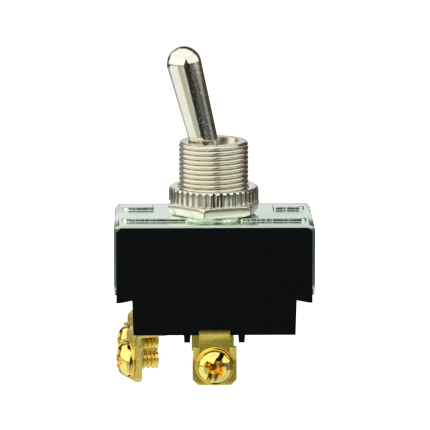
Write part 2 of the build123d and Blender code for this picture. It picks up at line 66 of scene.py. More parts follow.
DOUBLES = 2e-7  # points closer than this, in metres, are one
NO_AREA = 1e-8  # edges shorter than this, in metres, make no face
TINY = 1e-9  # stands for 0 below a division line
STRAIGHT = 1e-3  # a corner that turns less than this, in radians, isn't rounded
ROOM = 0.45  # most of a side that one rounding may take
BORE_COLUMNS = 48
EDGE_STEPS = 2


# Shader expressions


class Graph:
    """Node tree of one material or world. Numbers in it are Num, colours and vectors are sockets."""

    def __init__(self, tree: bpy.types.NodeTree) -> None:
        """Empties the tree.

        Args:
            tree: node tree of a material or world.
        """
        self.tree = tree
        tree.nodes.clear()

    def node(self, kind: str, settings: dict | None = None, **inputs: object) -> bpy.types.Node:
        """Adds one node, with its settings first and then its sockets.

        Args:
            kind: the node's type, without the ShaderNode prefix.
            settings: attributes of the node.
            inputs: what feed() takes.

        Returns:
            The new node.
        """
        made = self.tree.nodes.new("ShaderNode" + kind)
        for name, value in (settings or {}).items():
            setattr(made, name, value)
        self.feed(made, **inputs)
        return made

    def feed(self, made: bpy.types.Node, **inputs: object) -> None:
        """Sets inputs of a node.

        Args:
            made: the node.
            inputs: values, Nums or sockets by socket name, with _ for a space, or in0, in1 by place.
        """
        for name, value in inputs.items():
            by_place = name[:2] == "in" and name[2:].isdigit()
            self.set(made.inputs[int(name[2:]) if by_place else name.replace("_", " ")], value)

    def set(self, socket: Socket, value: object) -> None:
        """Links a Num or a socket into socket, or sets its value.

        Args:
            socket: an input.
            value: Num, output socket, number, or 3 numbers for a vector or a colour.
        """
        if isinstance(value, Num):
            value = value.socket
        if isinstance(value, Socket):
            self.tree.links.new(value, socket)
        elif socket.type == "RGBA":
            socket.default_value = (*value, 1.0)
        else:
            socket.default_value = value

    def num(self, socket: Socket) -> "Num":
        """Wraps an output socket as a Num."""
        return Num(self, socket)

    def math(self, operation: str, *operands: object) -> "Num":
        """Adds a Math node."""
        inputs = {f"in{i}": v for i, v in enumerate(operands)}
        return self.num(self.node("Math", {"operation": operation}, **inputs).outputs[0])

    def place(self) -> Socket:
        """Object coordinates, which are metres in the part's frame."""
        return self.node("TexCoord").outputs["Object"]

    def axes(self) -> tuple["Num", "Num", "Num"]:
        """The object coordinates x, y and z as three Nums, in metres."""
        split = self.node("SeparateXYZ", in0=self.place())
        return tuple(self.num(s) for s in split.outputs)

    def from_axis(self) -> "Num":
        """Distance from the Z axis: the root of x * x + y * y, in metres."""
        x, y, _ = self.axes()
        return (x * x + y * y) ** 0.5

    def noise(self, scale: float, detail: float = 2.0, rough: float = 0.5,
              at: Socket | None = None) -> "Num":
        """Cloudy noise from 0 to 1.

        Args:
            scale: waves per metre.
            detail: how many finer layers lie on the first.
            rough: share of the finer layers.
            at: coordinates, or None for object coordinates.

        Returns:
            The noise as a Num.
        """
        made = self.node("TexNoise", Vector=at or self.place(), Scale=scale, Detail=detail, Roughness=rough)
        return self.num(made.outputs[0])

    def streaks(self, scale: Triple, detail: float = 2.0) -> "Num":
        """Noise with its own number of waves per metre along each axis."""
        stretched = self.node("Mapping", Vector=self.place(), Scale=scale)
        return self.noise(1.0, detail, 0.6, stretched.outputs[0])

    def cells(self, scale: float) -> "Num":
        """Distance to the nearest of scattered points, with about scale points per metre."""
        return self.num(self.node("TexVoronoi", Vector=self.place(), Scale=scale).outputs["Distance"])

    def blend(self, share: object, first: object, second: object) -> Socket:
        """Mixes two colours.

        Args:
            share: of the second colour, from 0 to 1.
            first: colour or socket at share 0.
            second: colour or socket at share 1.

        Returns:
            The mixed colour's socket.
        """
        return self.node("Mix", {"data_type": "RGBA"}, Factor=share, in6=first, in7=second).outputs[2]

    def bump(self, height: "Num", depth: float, over: Socket | None = None) -> Socket:
        """A bumped normal.

        Args:
            height: from 0 to 1.
            depth: metres between height 0 and 1.
            over: a normal that this one goes on top of.

        Returns:
            The normal's socket.
        """
        made = self.node("Bump", Height=height, Distance=depth, Strength=1.0)
        if over is not None:
            self.feed(made, Normal=over)
        return made.outputs[0]


class Num:
    """A number in a shader. Operators on it add Math nodes."""

    def __init__(self, graph: Graph, socket: Socket) -> None:
        """Wraps an output socket of graph."""
        self.graph = graph
        self.socket = socket

    def math(self, operation: str, *others: object) -> "Num":
        """Adds a Math node with this number first and others after it."""
        return self.graph.math(operation, self, *others)

    def __add__(self, other: object) -> "Num":
        """This plus other."""
        return self.math("ADD", other)

    __radd__ = __add__

    def __sub__(self, other: object) -> "Num":
        """This less other."""
        return self.math("SUBTRACT", other)

    def __rsub__(self, other: object) -> "Num":
        """Other less this."""
        return self.graph.math("SUBTRACT", other, self)

    def __mul__(self, other: object) -> "Num":
        """This times other."""
        return self.math("MULTIPLY", other)

    __rmul__ = __mul__

    def __truediv__(self, other: object) -> "Num":
        """This over other."""
        return self.math("DIVIDE", other)

    def __pow__(self, other: object) -> "Num":
        """This to a power."""
        return self.math("POWER", other)

    def __neg__(self) -> "Num":
        """This times -1."""
        return self.math("MULTIPLY", -1.0)

    def __abs__(self) -> "Num":
        """This without its sign."""
        return self.math("ABSOLUTE")

    def least(self, other: object) -> "Num":
        """The smaller of this and other."""
        return self.math("MINIMUM", other)

    def most(self, other: object) -> "Num":
        """The larger of this and other."""
        return self.math("MAXIMUM", other)

    def step(self, low: float, high: float) -> "Num":
        """Rises smoothly from 0 at low to 1 at high."""
        made = self.graph.node("MapRange", {"interpolation_type": "SMOOTHSTEP"}, Value=self,
                               From_Min=low, From_Max=high, To_Min=0.0, To_Max=1.0)
        return Num(self.graph, made.outputs[0])

    def window(self, low: float, high: float, soft: float) -> "Num":
        """1 between low and high, falling to 0 over soft outside them."""
        return self.step(low - soft, low) * (1 - self.step(high, high + soft))


# Finishes


def blank_material(name: str) -> tuple[bpy.types.Material, Graph]:
    """A new material with no nodes, and its graph.

    Args:
        name: of the material.

    Returns:
        The material and its graph.
    """
    made = bpy.data.materials.new(name)
    made.use_nodes = True
    return made, Graph(made.node_tree)


@dataclass(frozen=True)
class Finish:
    """Values that every finish sets, and the material that it makes.

    Colours are linear, and scales are waves per metre.
    """

    name: str
    colour: Triple
    roughness: float
    metallic: float = 1.0
    specular: float = 0.5
    gloss: Pair = (0.85, 0.3)
    mottle_scale: float = 900.0
    cloud_tint: Triple = (0.86, 0.86, 0.86)

    def material(self) -> bpy.types.Material:
        """Makes the material once and returns it again later.

        Returns:
            The material.
        """
        found = bpy.data.materials.get(self.name)
        if found is not None:
            return found
        made, graph = blank_material(self.name)
        shader = graph.node("BsdfPrincipled", Base_Color=self.colour, Roughness=self.roughness,
                            Metallic=self.metallic, IOR=1.5, Specular_IOR_Level=self.specular)
        graph.node("OutputMaterial", Surface=shader.outputs[0])
        self.detail(graph, shader)
        return made

    def uneven(self, noise: Num) -> Num:
        """The roughness times gloss[0] + gloss[1] * noise."""
        return self.roughness * (self.gloss[0] + self.gloss[1] * noise)

    def clouded(self, graph: Graph, share: Num) -> Socket:
        """Blends the colour into the same colour with each channel times that of the cloud's tint."""
        return graph.blend(share, self.colour, tuple(np.multiply(self.colour, self.cloud_tint)))

    def detail(self, graph: Graph, shader: bpy.types.Node) -> None:
        """Adds what varies over the surface. A plain finish has a faint unevenness of gloss."""
        graph.feed(shader, Roughness=self.uneven(graph.noise(self.mottle_scale, 3.0)))


@dataclass(frozen=True)
class PolishedNickel(Finish):
    """Nickel over a polished lever: mirror bright, with a fine grain that frays its reflections."""

    mottle_scale: float = 260.0
    cloud_tint: Triple = (1.02, 0.99, 0.94)
    wave_scale: float = 700.0
    peel_scale: float = 4200.0
    peel_depth: float = 1.1e-5
    prick_scale: float = 5600.0
    prick_levels: Pair = (0.54, 0.70)
    prick_roughness: float = 0.30

    def detail(self, graph: Graph, shader: bpy.types.Node) -> None:
        """Orange peel in two sizes, faint warm and cool clouds, and matt pinpricks in the gloss.

        Args:
            graph: of the material.
            shader: whose sockets are fed.
        """
        base = self.clouded(graph, graph.noise(self.mottle_scale))
        pricks = graph.noise(self.prick_scale, 3.0, 0.7).step(*self.prick_levels)
        wave = graph.bump(graph.noise(self.wave_scale, 1.0), self.peel_depth)
        peel = graph.noise(self.peel_scale, 3.0, 0.65)
        graph.feed(shader, Base_Color=base, Roughness=self.roughness + self.prick_roughness * pricks,
                   Normal=graph.bump(peel, self.peel_depth, wave))


@dataclass(frozen=True)
class TurnedNickel(Finish):
    """Nickel over a turned part: fine rings about Z, and painted shade, darker and yellower, in the low
    places.

    The spans are levels below the crest, in thread depths, over which a share rises from 0 to 1.
    """

    gloss: Pair = (0.75, 0.5)
    mottle_scale: float = 1500.0
    mottle_share: float = 0.6
    ring_scale: Triple = (900.0, 900.0, 16000.0)
    ring_depth: float = 1.0e-6
    crest: float = 5.95 * MM
    depth: float = 0.3 * MM
    crest_span: Pair = (1.0, 0.35)
    thread_span: Pair = (1.6, 1.3)
    # colour of the painted shade in the thread's roots
    root_shade: Triple = (0.52, 0.49, 0.34)

    def beyond(self, radius: Num, span: Pair) -> Num:
        """Share that rises over a span of levels below the crest."""
        return radius.step(self.crest - span[0] * self.depth, self.crest - span[1] * self.depth)

    def detail(self, graph: Graph, shader: bpy.types.Node) -> None:
        """Rings from noise stretched around Z, and painted shade, a darker colour, below the crest radius.

        Args:
            graph: of the material.
            shader: whose sockets are fed.
        """
        radius = graph.from_axis()
        # painted shade: darker and yellower in the thread's roots
        low = (1 - self.beyond(radius, self.crest_span)) * self.beyond(radius, self.thread_span)
        base = self.clouded(graph, graph.noise(self.mottle_scale, 3.0) * self.mottle_share)
        rings = graph.streaks(self.ring_scale)
        graph.feed(shader, Base_Color=graph.blend(low, base, self.root_shade),
                   Roughness=self.uneven(rings), Normal=graph.bump(rings, self.ring_depth))


@dataclass(frozen=True)
class GrainedNickel(Finish):
    """Nickel over a blanked nut: fine sandy grain in the normal, the gloss and the colour."""

    gloss: Pair = (0.7, 0.6)
    mottle_scale: float = 600.0
    mottle_share: float = 0.4
    cloud_tint: Triple = (0.78, 0.78, 0.78)
    grain_scale: float = 6500.0
    grain_share: float = 0.35
    grain_depth: float = 2.0e-6

    def detail(self, graph: Graph, shader: bpy.types.Node) -> None:
        """The grain, and clouds in the colour.

        Args:
            graph: of the material.
            shader: whose sockets are fed.
        """
        grain = graph.noise(self.grain_scale, 4.0, 0.7)
        share = self.grain_share * grain + self.mottle_share * graph.noise(self.mottle_scale)
        # a knurled nut adds painted shade in its gaps here
        base = self.painted_gap_shade(graph, self.clouded(graph, share))
        graph.feed(shader, Base_Color=base, Roughness=self.uneven(grain),
                   Normal=graph.bump(grain, self.grain_depth))

    def painted_gap_shade(self, graph: Graph, base: Socket) -> Socket:
        """The colour with painted shade in the nut's gaps, made in graph. A plain nut has none."""
        return base


@dataclass(frozen=True)
class KnurledNickel(GrainedNickel):
    """Grained nickel, with painted shade that makes it dark in the gaps between the teeth of a knurled nut.
    """

    # colour of the painted shade in the gaps between the teeth
    gap_shade_colour: Triple = (0.58, 0.56, 0.46)
    root: float = 7.18 * MM
    flank: float = 0.22 * MM
    levels: Pair = (2.1 * MM, 4.1 * MM)
    soft: float = 0.1 * MM

    def painted_gap_shade(self, graph: Graph, base: Socket) -> Socket:
        """Paints shade on what lies below the teeth's flanks, between the turned-off edges.

        Args:
            graph: of the material.
            base: the colour elsewhere.

        Returns:
            The colour.
        """
        # painted shade: darker below the teeth's flanks, in the gaps
        deep = 1 - graph.from_axis().step(self.root, self.root + self.flank)
        between = graph.axes()[2].window(*self.levels, self.soft)
        return graph.blend(deep * between, base, self.gap_shade_colour)


@dataclass(frozen=True)
class PassivatedZinc(Finish):
    """Zinc plate with a pale green passivation: soft clouds of green and rolling marks along X.

    The spans of the edge are levels inwards from the cover's long sides.
    """

    gloss: Pair = (0.8, 0.4)
    mottle_scale: float = 140.0
    mottle_span: Pair = (0.3, 0.75)
    mottle_share: float = 0.75
    streak_share: float = 0.18
    streak_scale: Triple = (260.0, 5200.0, 1900.0)
    ripple_scale: Triple = (2600.0, 300.0, 300.0)
    ripple_span: Pair = (0.25, 0.5)
    pebble_scale: float = 3200.0
    pebble_depth: float = 1.6e-6
    streak_depth: float = 0.8e-6
    green: Triple = (0.72, 0.93, 0.78)
    sheared: Triple = (0.62, 0.69, 0.62)
    # darker colour: painted reflection of the dark surroundings on the bead flanks, and a darker band along
    # the back edge
    stain: Triple = (0.06, 0.08, 0.07)
    bend: float = -1.2 * MM
    half_depth: float = 9.9 * MM
    edge_span: Pair = (0.06 * MM, 0.02 * MM)
    edge_matt: float = 0.4
    edge_dull: float = 0.25
    back_width: float = 0.85 * MM
    back_levels: Pair = (-0.9 * MM, -0.7 * MM)
    back_share: float = 0.5
    soft: float = 0.1 * MM
    bead_middle: float = 5.1 * MM
    bead_half: float = 1.4 * MM
    bead_levels: Pair = (-0.52 * MM, -0.23 * MM)
    bead_length: Pair = (4.9 * MM, 14.6 * MM)

    def stained(self, graph: Graph, x: Num, y: Num, z: Num) -> Num:
        """Share of darkening: a darker band along the back edge and, broken by ripples, a painted
        reflection of the dark surroundings on the flanks of each bead.

        Args:
            graph: of the material.
            x: along the cover.
            y: across it.
            z: out of the panel.

        Returns:
            The share, from 0 to 1.
        """
        ripple = graph.streaks(self.ripple_scale)
        across = abs(y) - self.bead_middle
        # painted reflection: the bead flanks darken as if they mirrored the dark surroundings
        flank = (self.bead_half - abs(across)).step(-self.soft, 0.0) * ripple.step(*self.ripple_span)
        bead = z.window(*self.bead_levels, self.soft / 2) * abs(x).window(*self.bead_length, 3 * self.soft)
        back = y.window(self.half_depth - self.back_width, self.half_depth, self.soft) * self.back_share
        return (flank * bead + back * z.step(*self.back_levels)).least(1.0)

    def detail(self, graph: Graph, shader: bpy.types.Node) -> None:
        """Clouds, streaks, darkening (a painted dark reflection on the bead flanks, a darker band at the
        back edge), a fine pebble, and the sheet's sheared edge, matt and pale on top.

        Args:
            graph: of the material.
            shader: whose sockets are fed.
        """
        x, y, z = graph.axes()
        cut = abs(y).step(self.half_depth - self.edge_span[0], self.half_depth - self.edge_span[1])
        cut = cut * z.step(self.bend, 0.8 * self.bend)
        cloud = graph.noise(self.mottle_scale, 2.0, 0.5)
        streak = graph.streaks(self.streak_scale, 3.0)
        share = (cloud.step(*self.mottle_span) * self.mottle_share + self.streak_share * streak).least(1.0)
        base = graph.blend(cut, graph.blend(share, self.colour, self.green), self.sheared)
        pebble = graph.bump(graph.noise(self.pebble_scale, 3.0, 0.6), self.pebble_depth)
        graph.feed(shader, Base_Color=graph.blend(self.stained(graph, x, y, z), base, self.stain),
                   Metallic=1 - self.edge_dull * cut, Roughness=self.uneven(streak) + self.edge_matt * cut,
                   Normal=graph.bump(streak, self.streak_depth, pebble))


@dataclass(frozen=True)
class MouldedPhenolic(Finish):
    """Black moulded phenolic: satin, with pinhead mottling and a few grey flecks."""

    gloss: Pair = (0.8, 0.45)
    mottle_scale: float = 300.0
    fleck_scale: float = 1400.0
    fleck_size: Pair = (0.05, 0.16)
    fleck_share: float = 0.5
    fleck: Triple = (0.012, 0.012, 0.012)
    pebble_scale: float = 5200.0
    pebble_depth: float = 1.8e-6

    def detail(self, graph: Graph, shader: bpy.types.Node) -> None:
        """Flecks of filler, a cloudy gloss and a very fine pebble.

        Args:
            graph: of the material.
            shader: whose sockets are fed.
        """
        flecks = self.fleck_share * (1 - graph.cells(self.fleck_scale).step(*self.fleck_size))
        pebble = graph.noise(self.pebble_scale, 2.0, 0.6)
        graph.feed(shader, Base_Color=graph.blend(flecks, self.colour, self.fleck),
                   Roughness=self.uneven(graph.noise(self.mottle_scale, 3.0)),
                   Normal=graph.bump(pebble, self.pebble_depth))


@dataclass(frozen=True)
class RolledBrass(Finish):
    """Rolled strip, darker olive between two levels with a painted highlight on the ears, and sandy grain.
    """

    gloss: Pair = (0.75, 0.5)
    mottle_scale: float = 420.0
    speck_scale: float = 3400.0
    speck_depth: float = 5.0e-6
    speck_share: float = 1.1
    line_scale: Triple = (5200.0, 5200.0, 350.0)
    line_depth: float = 1.2e-6
    # darker olive colour, laid between two levels so that the fold above stays bright
    olive_band: Triple = (0.26, 0.22, 0.02)
    olive_share: float = 0.9
    olive_cloud: Pair = (0.7, 0.45)
    olive_low: float = -27.0 * MM
    olive_high: float = -19.6 * MM
    olive_soft: float = 0.9 * MM
    ear_reach: Pair = (2.7 * MM, 5.0 * MM)
    ear_levels: Pair = (-23.0 * MM, -20.0 * MM)
    ear_soft: Pair = (0.3 * MM, 0.8 * MM)
    ear_highlight: float = 0.85

    def detail(self, graph: Graph, shader: bpy.types.Node) -> None:
        """The darker olive band, with a painted highlight on the ears, stains, sandy grain and vertical
        rolling lines.

        Args:
            graph: of the material.
            shader: whose sockets are fed.
        """
        x, _, z = graph.axes()
        across, along = self.ear_soft
        ears = abs(x).window(*self.ear_reach, across) * z.window(*self.ear_levels, along)
        # painted highlight: the ears keep little of the olive, as if they caught the light from above
        olive_band = z.window(self.olive_low, self.olive_high, self.olive_soft) * (1 - self.ear_highlight * ears)
        cloud = self.olive_cloud[0] + self.olive_cloud[1] * graph.noise(self.mottle_scale, 4.0, 0.6)
        speck = graph.noise(self.speck_scale, 3.0, 0.7)
        share = olive_band * self.olive_share * cloud + self.speck_share * (speck - 0.5)
        lines = graph.streaks(self.line_scale, 3.0)
        sand = graph.bump(speck, self.speck_depth)
        graph.feed(shader, Base_Color=graph.blend(share.least(1.0).most(0.0), self.colour, self.olive_band),
                   Roughness=self.uneven(lines), Normal=graph.bump(lines, self.line_depth, sand))


@dataclass(frozen=True)
class PlatedBrass(Finish):
    """Bright yellow plate on a pressed screw: glossy, with a soft waviness from the die, and painted
    reflection and shade in its recess.
    """

    gloss: Pair = (0.7, 0.6)
    mottle_scale: float = 2600.0
    cloud_scale: float = 900.0
    cloud_span: Pair = (0.45, 0.8)
    cloud_share: float = 0.35
    wave_scale: float = 1100.0
    wave_depth: float = 3.0e-6
    deep: Triple = (0.80, 0.42, 0.07)
    # painted reflection: orange inside the cross, on the flange and in the thread's roots
    recess: Triple = (0.95, 0.62, 0.09)
    reflection_span: Pair = (0.0, 0.5)
    # painted shade: near black at the slot's ends
    slot: Triple = (0.10, 0.075, 0.015)
    slot_shade_span: Pair = (0.6, 0.9)

    def detail(self, graph: Graph, shader: bpy.types.Node) -> None:
        """Warmer clouds, an uneven gloss and a soft wave.

        The attribute that mark_recess() stores turns the plate to a painted orange reflection where it is
        near 0.5, and to the painted shade of the slot's ends where it is near 1.

        Args:
            graph: of the material.
            shader: whose sockets are fed.
        """
        cloud = self.cloud_share * graph.noise(self.cloud_scale).step(*self.cloud_span)
        plate = graph.blend(cloud, self.colour, self.deep)
        mark = graph.num(graph.node("Attribute", {"attribute_name": "recess"}).outputs["Fac"])
        # painted reflection in the recess, then painted shade at the slot's ends
        hollow = graph.blend(mark.step(*self.reflection_span), plate, self.recess)
        graph.feed(shader, Base_Color=graph.blend(mark.step(*self.slot_shade_span), hollow, self.slot),
                   Roughness=self.uneven(graph.noise(self.mottle_scale)),
                   Normal=graph.bump(graph.noise(self.wave_scale), self.wave_depth))


class Finishes(Enum):
    """Every finish on the switch."""

    LEVER = PolishedNickel("lever_nickel", (0.83, 0.81, 0.75), 0.07)
    BUSHING = TurnedNickel("bushing_nickel", (0.74, 0.705, 0.60), 0.22)
    HEX = GrainedNickel("hex_nickel", (0.86, 0.84, 0.74), 0.15, metallic=0.95)
    KNURL = KnurledNickel("knurl_nickel", (0.88, 0.86, 0.78), 0.15, grain_depth=1.0e-6)
    ZINC = PassivatedZinc("cover_zinc", (0.88, 0.96, 0.91), 0.20)
    BODY = MouldedPhenolic("body_phenolic", (0.0012, 0.0018, 0.0022), 0.36, metallic=0.0, specular=0.07)
    STRIP = RolledBrass("centre_brass", (0.90, 0.73, 0.17), 0.42, metallic=0.85)
    END_STRIP = RolledBrass("end_brass", (0.97, 0.80, 0.24), 0.38, metallic=0.95, olive_share=0.15,
                            olive_high=-20.6 * MM)
    SCREW = PlatedBrass("screw_brass", (0.96, 0.80, 0.24), 0.15)
    PIN = Finish("ground_steel", (0.60, 0.60, 0.60), 0.30)
    TURNED_BRASS = Finish("turned_brass", (0.80, 0.62, 0.25), 0.28)
    SPRING = Finish("spring_wire", (0.52, 0.52, 0.53), 0.30)
    COPPER = Finish("rocker_copper", (0.78, 0.43, 0.28), 0.32)
    SILVER = Finish("contact_silver", (0.86, 0.85, 0.83), 0.25)
    FIBRE = Finish("liner_fibre", (0.30, 0.31, 0.28), 0.75, metallic=0.0)
    NYLON = Finish("carrier_nylon", (0.82, 0.80, 0.73), 0.40, metallic=0.0)


# Surfaces


def ring_faces(rows: int, columns: int, closed: bool) -> Array:
    """Quads of a grid whose point (i, j) is number i * columns + j, with its columns joined around.

    Args:
        rows: points along the first parameter.
        columns: points around.
        closed: joins the last row to the first.

    Returns:
        (n, 4) point numbers.
    """
    i, j = np.meshgrid(np.arange(rows if closed else rows - 1), np.arange(columns), indexing="ij")
    here, below, right = i * columns, (i + 1) % rows * columns, (j + 1) % columns
    return np.stack([here + j, here + right, below + right, below + j], -1).reshape(-1, 4)


def surface(name: str, points: Array, quads: Array, sharp_deg: float = 32.0) -> Piece:
    """Puts points and quads into a mesh, merges doubles, turns faces outwards and marks sharp edges.

    Args:
        name: of the piece.
        points: (..., 3) in millimetres.
        quads: (m, 4) point numbers.
        sharp_deg: edges that turn more than this stay sharp in the shading.

    Returns:
        The new object.
    """
    mesh = bpy.data.meshes.new(name)
    places = np.asarray(points, float).reshape(-1, 3) * MM
    mesh.vertices.add(len(places))
    mesh.vertices.foreach_set("co", places.astype(np.float32).ravel())
    mesh.loops.add(quads.size)
    mesh.loops.foreach_set("vertex_index", np.asarray(quads, np.int32).ravel())
    mesh.polygons.add(len(quads))
    mesh.polygons.foreach_set("loop_start", np.arange(0, quads.size, 4, dtype=np.int32))
    mesh.update(calc_edges=True)
    piece = bpy.data.objects.new(name, mesh)
    bpy.context.scene.collection.objects.link(piece)
    seal(piece)
    shade(piece, sharp_deg)
    return piece


def seal(piece: Piece) -> None:
    """Merges doubles, drops faces with no area and turns the faces outwards.

    Args:
        piece: a mesh object.
    """
    work = bmesh.new()
    work.from_mesh(piece.data)
    bmesh.ops.remove_doubles(work, verts=work.verts, dist=DOUBLES)
    bmesh.ops.dissolve_degenerate(work, edges=work.edges, dist=NO_AREA)
    bmesh.ops.recalc_face_normals(work, faces=work.faces)
    work.to_mesh(piece.data)
    work.free()
    piece.data.update()


def shade(piece: Piece, sharp_deg: float) -> None:
    """Shades smoothly, with edges over sharp_deg kept sharp."""
    piece.data.shade_smooth()
    piece.data.set_sharp_from_angle(angle=radians(sharp_deg))


def norm(vectors: Array) -> Array:
    """Length of each vector, with the last axis kept."""
    return np.linalg.norm(vectors, axis=-1, keepdims=True)


def unit(vectors: Array) -> Array:
    """Each vector with length 1, or 0 where it has none."""
    return vectors / np.maximum(norm(vectors), TINY)


def rounded_rings(corners: Array, rounding: Sequence[float], steps: int = 5, closed: bool = True) -> Array:
    """Rounds the corners of many outlines at once.

    A corner P with unit directions a and b to its neighbours becomes the arc that touches both
    sides at distance t = rounding / tan(half the angle between them) from P: its points are
    centre + rounding * (direction from the centre), turned evenly from one touching point to the other.

    Args:
        corners: (k, columns, 2) radius and height of each corner in each column.
        rounding: k radii, 0 for a sharp corner.
        steps: points on an arc.
        closed: whether the last corner joins the first. If not, the two ends stay as they are.

    Returns:
        (rows, columns, 2) points.
    """
    rows, count = [], len(corners)
    for k, (corner, radius) in enumerate(zip(corners, rounding)):
        if radius <= 0 or (not closed and k in (0, count - 1)):
            rows.append(corner[None])
            continue
        back, ahead = corners[k - 1] - corner, corners[(k + 1) % count] - corner
        room = ROOM * np.minimum(norm(back), norm(ahead))
        back, ahead = unit(back), unit(ahead)
        half = 0.5 * np.arccos(np.clip((back * ahead).sum(-1, keepdims=True), -1, 1))
        touch = np.minimum(radius / np.maximum(np.tan(half), TINY), room)
        first, last = corner + back * touch, corner + ahead * touch
        centre = corner + unit(back + ahead) * touch / np.maximum(np.cos(half), TINY)
        share, turn = np.linspace(0, 1, steps)[:, None, None], np.pi - 2 * half
        from_first, from_last = np.sin((1 - share) * turn), np.sin(share * turn)
        arc = from_first * (first - centre) + from_last * (last - centre)
        arc = centre + arc / np.maximum(np.sin(turn), TINY)
        rows.append(np.where(turn < STRAIGHT, first + share * (last - first), arc))
    return np.concatenate(rows, 0)


def full_turn(count: int) -> Array:
    """Angles of count points spaced evenly around, in radians."""
    return np.linspace(0, 2 * np.pi, count, endpoint=False)


def tube(name: str, points: Array, closed: bool = False, caps: Sequence[tuple[int, ...]] = (),
         sharp_deg: float = 32.0) -> Piece:
    """A piece from a grid of points that is closed around its columns.

    Args:
        name: of the piece.
        points: (rows, columns, 3) in millimetres.
        closed: whether the last row joins the first.
        caps: quads of point numbers in a row, which close both ends.
        sharp_deg: edges that turn more than this stay sharp in the shading.

    Returns:
        The new object.
    """
    rows, columns = points.shape[:2]
    ends = np.array(caps, int).reshape(-1, 4)
    quads = np.concatenate([ring_faces(rows, columns, closed), ends, ends + columns * (rows - 1)])
    return surface(name, points, quads, sharp_deg)


def lathe(name: str, rings: Array, angles: Array, closed: bool = True, sharp_deg: float = 32.0) -> Piece:
    """Carries a section around Z: x = r cos a, y = r sin a, z = height.

    Args:
        name: of the piece.
        rings: (rows, columns, 2) radii and heights.
        angles: of the columns, in radians.
        closed: whether the last row joins the first. If not, both ends lie on the axis.
        sharp_deg: edges that turn more than this stay sharp in the shading.

    Returns:
        The new object.
    """
    r, z = rings[..., 0], rings[..., 1]
    points = np.stack([r * np.cos(angles), r * np.sin(angles), z], -1)
    return tube(name, points, closed, sharp_deg=sharp_deg)


def outline_rings(corners: Sequence[Triple], columns: int, steps: int = 5) -> Array:
    """Rounds an outline that isn't closed and repeats it in every column.

    Args:
        corners: radius, height and rounding of each corner.
        columns: points around.
        steps: points on each rounded corner.

    Returns:
        (rows, columns, 2) radii and heights.
    """
    table = np.array(corners, float)
    return rounded_rings(np.repeat(table[:, None, :2], columns, 1), table[:, 2], steps, closed=False)


def turned(name: str, corners: Sequence[Triple], columns: int, steps: int = 5) -> Piece:
    """A turned piece: what outline_rings() takes, starting and ending on the axis, around Z."""
    return lathe(name, outline_rings(corners, columns, steps), full_turn(columns), closed=False)


def section(columns: int, *corners: tuple[Array | float, Array | float]) -> Array:
    """Stacks (radius, height) corners, each a number or one a column, into (k, columns, 2)."""
    return np.stack([np.stack([np.broadcast_to(v, columns) for v in corner], -1) for corner in corners])


def thread_rings(angles: Array, crest: float, depth: float, pitch: float, low: float, high: float,
                 rows: int, power: float = 0.6) -> Array:
    """A right-hand thread.

    With s = height / pitch - angle / full turn, the radius is
    crest - depth * fade * (1 - |sin(pi s)| ** power), where fade falls to 0 at the lower end.

    Args:
        angles: of the columns, in radians.
        crest: outer radius.
        depth: of the roots.
        pitch: rise per turn.
        low: lower end.
        high: upper end.
        rows: rings per pitch.
        power: below 1 for broad crests and narrow roots, above 1 for narrow crests.

    Returns:
        (rows, columns, 2) radii and heights, from low to high.
    """
    height = np.linspace(low, high, int(round((high - low) / pitch * rows)) + 1)[:, None]
    phase = height / pitch - angles / (2 * np.pi)
    fade = np.clip((height - low) / pitch, 0, 1)
    radius = crest - depth * fade * (1 - np.abs(np.sin(np.pi * phase)) ** power)
    return np.stack([radius, np.broadcast_to(height, radius.shape)], -1)


def brick(width: float, length: float, low: float, high: float, taper: float = 1.0) -> Piece:
    """A block that cuts, centred on the Z axis between two heights.

    Args:
        width: along X at the top.
        length: along Y at the top.
        low: its lower height.
        high: its upper height.
        taper: size of its lower face over the size of its upper face.

    Returns:
        The block.
    """
    corners = np.array([(-1, -1), (1, -1), (1, 1), (-1, 1)]) * (width / 2, length / 2)
    heights = np.repeat([low, high], 4)[:, None]
    points = np.hstack([np.concatenate([corners * taper, corners]), heights])
    quads = np.array([(0, 1, 2, 3), (4, 7, 6, 5), (0, 4, 5, 1), (1, 5, 6, 2), (2, 6, 7, 3), (3, 7, 4, 0)])
    return surface("cutter", points, quads)


def move_points(piece: Piece, turn: Array, shift: Sequence[float] = (0, 0, 0)) -> None:
    """Turns a piece's points by the matrix turn and then shifts them.

    Args:
        piece: mesh object at the origin.
        turn: (3, 3) rotation.
        shift: millimetres.
    """
    data = piece.data
    points = np.empty(len(data.vertices) * 3, np.float32)
    data.vertices.foreach_get("co", points)
    moved = points.reshape(-1, 3) @ turn.T + np.array(shift) * MM
    data.vertices.foreach_set("co", moved.astype(np.float32).ravel())
    data.update()


def turn_about(axis: str, degrees: float) -> Array:
    """Rotation matrix about the X, Y or Z axis by the right-hand rule."""
    c, s = cos(radians(degrees)), sin(radians(degrees))
    return {
        "X": np.array([[1, 0, 0], [0, c, -s], [0, s, c]]),
        "Y": np.array([[c, 0, s], [0, 1, 0], [-s, 0, c]]),
        "Z": np.array([[c, -s, 0], [s, c, 0], [0, 0, 1]]),
    }[axis]


def settle(piece: Piece) -> None:
    """Works a piece's modifiers into its mesh.

    Args:
        piece: a mesh object.
    """
    graph = bpy.context.evaluated_depsgraph_get()
    made = bpy.data.meshes.new_from_object(piece.evaluated_get(graph), depsgraph=graph)
    piece.modifiers.clear()
    old, piece.data = piece.data, made
    bpy.data.meshes.remove(old)


def rod(radius: float, low: float, high: float, turn: Array = np.eye(3),
        shift: Sequence[float] = (0, 0, 0)) -> Piece:
    """A round bar that cuts.

    Args:
        radius: of the bar.
        low: its lower height.
        high: its upper height.
        turn: matrix that then turns it.
        shift: that it is then moved by.

    Returns:
        The bar.
    """
    bar = turned("cutter", [(0, low, 0), (radius, low, 0), (radius, high, 0), (0, high, 0)], BORE_COLUMNS)
    move_points(bar, turn, shift)
    return bar


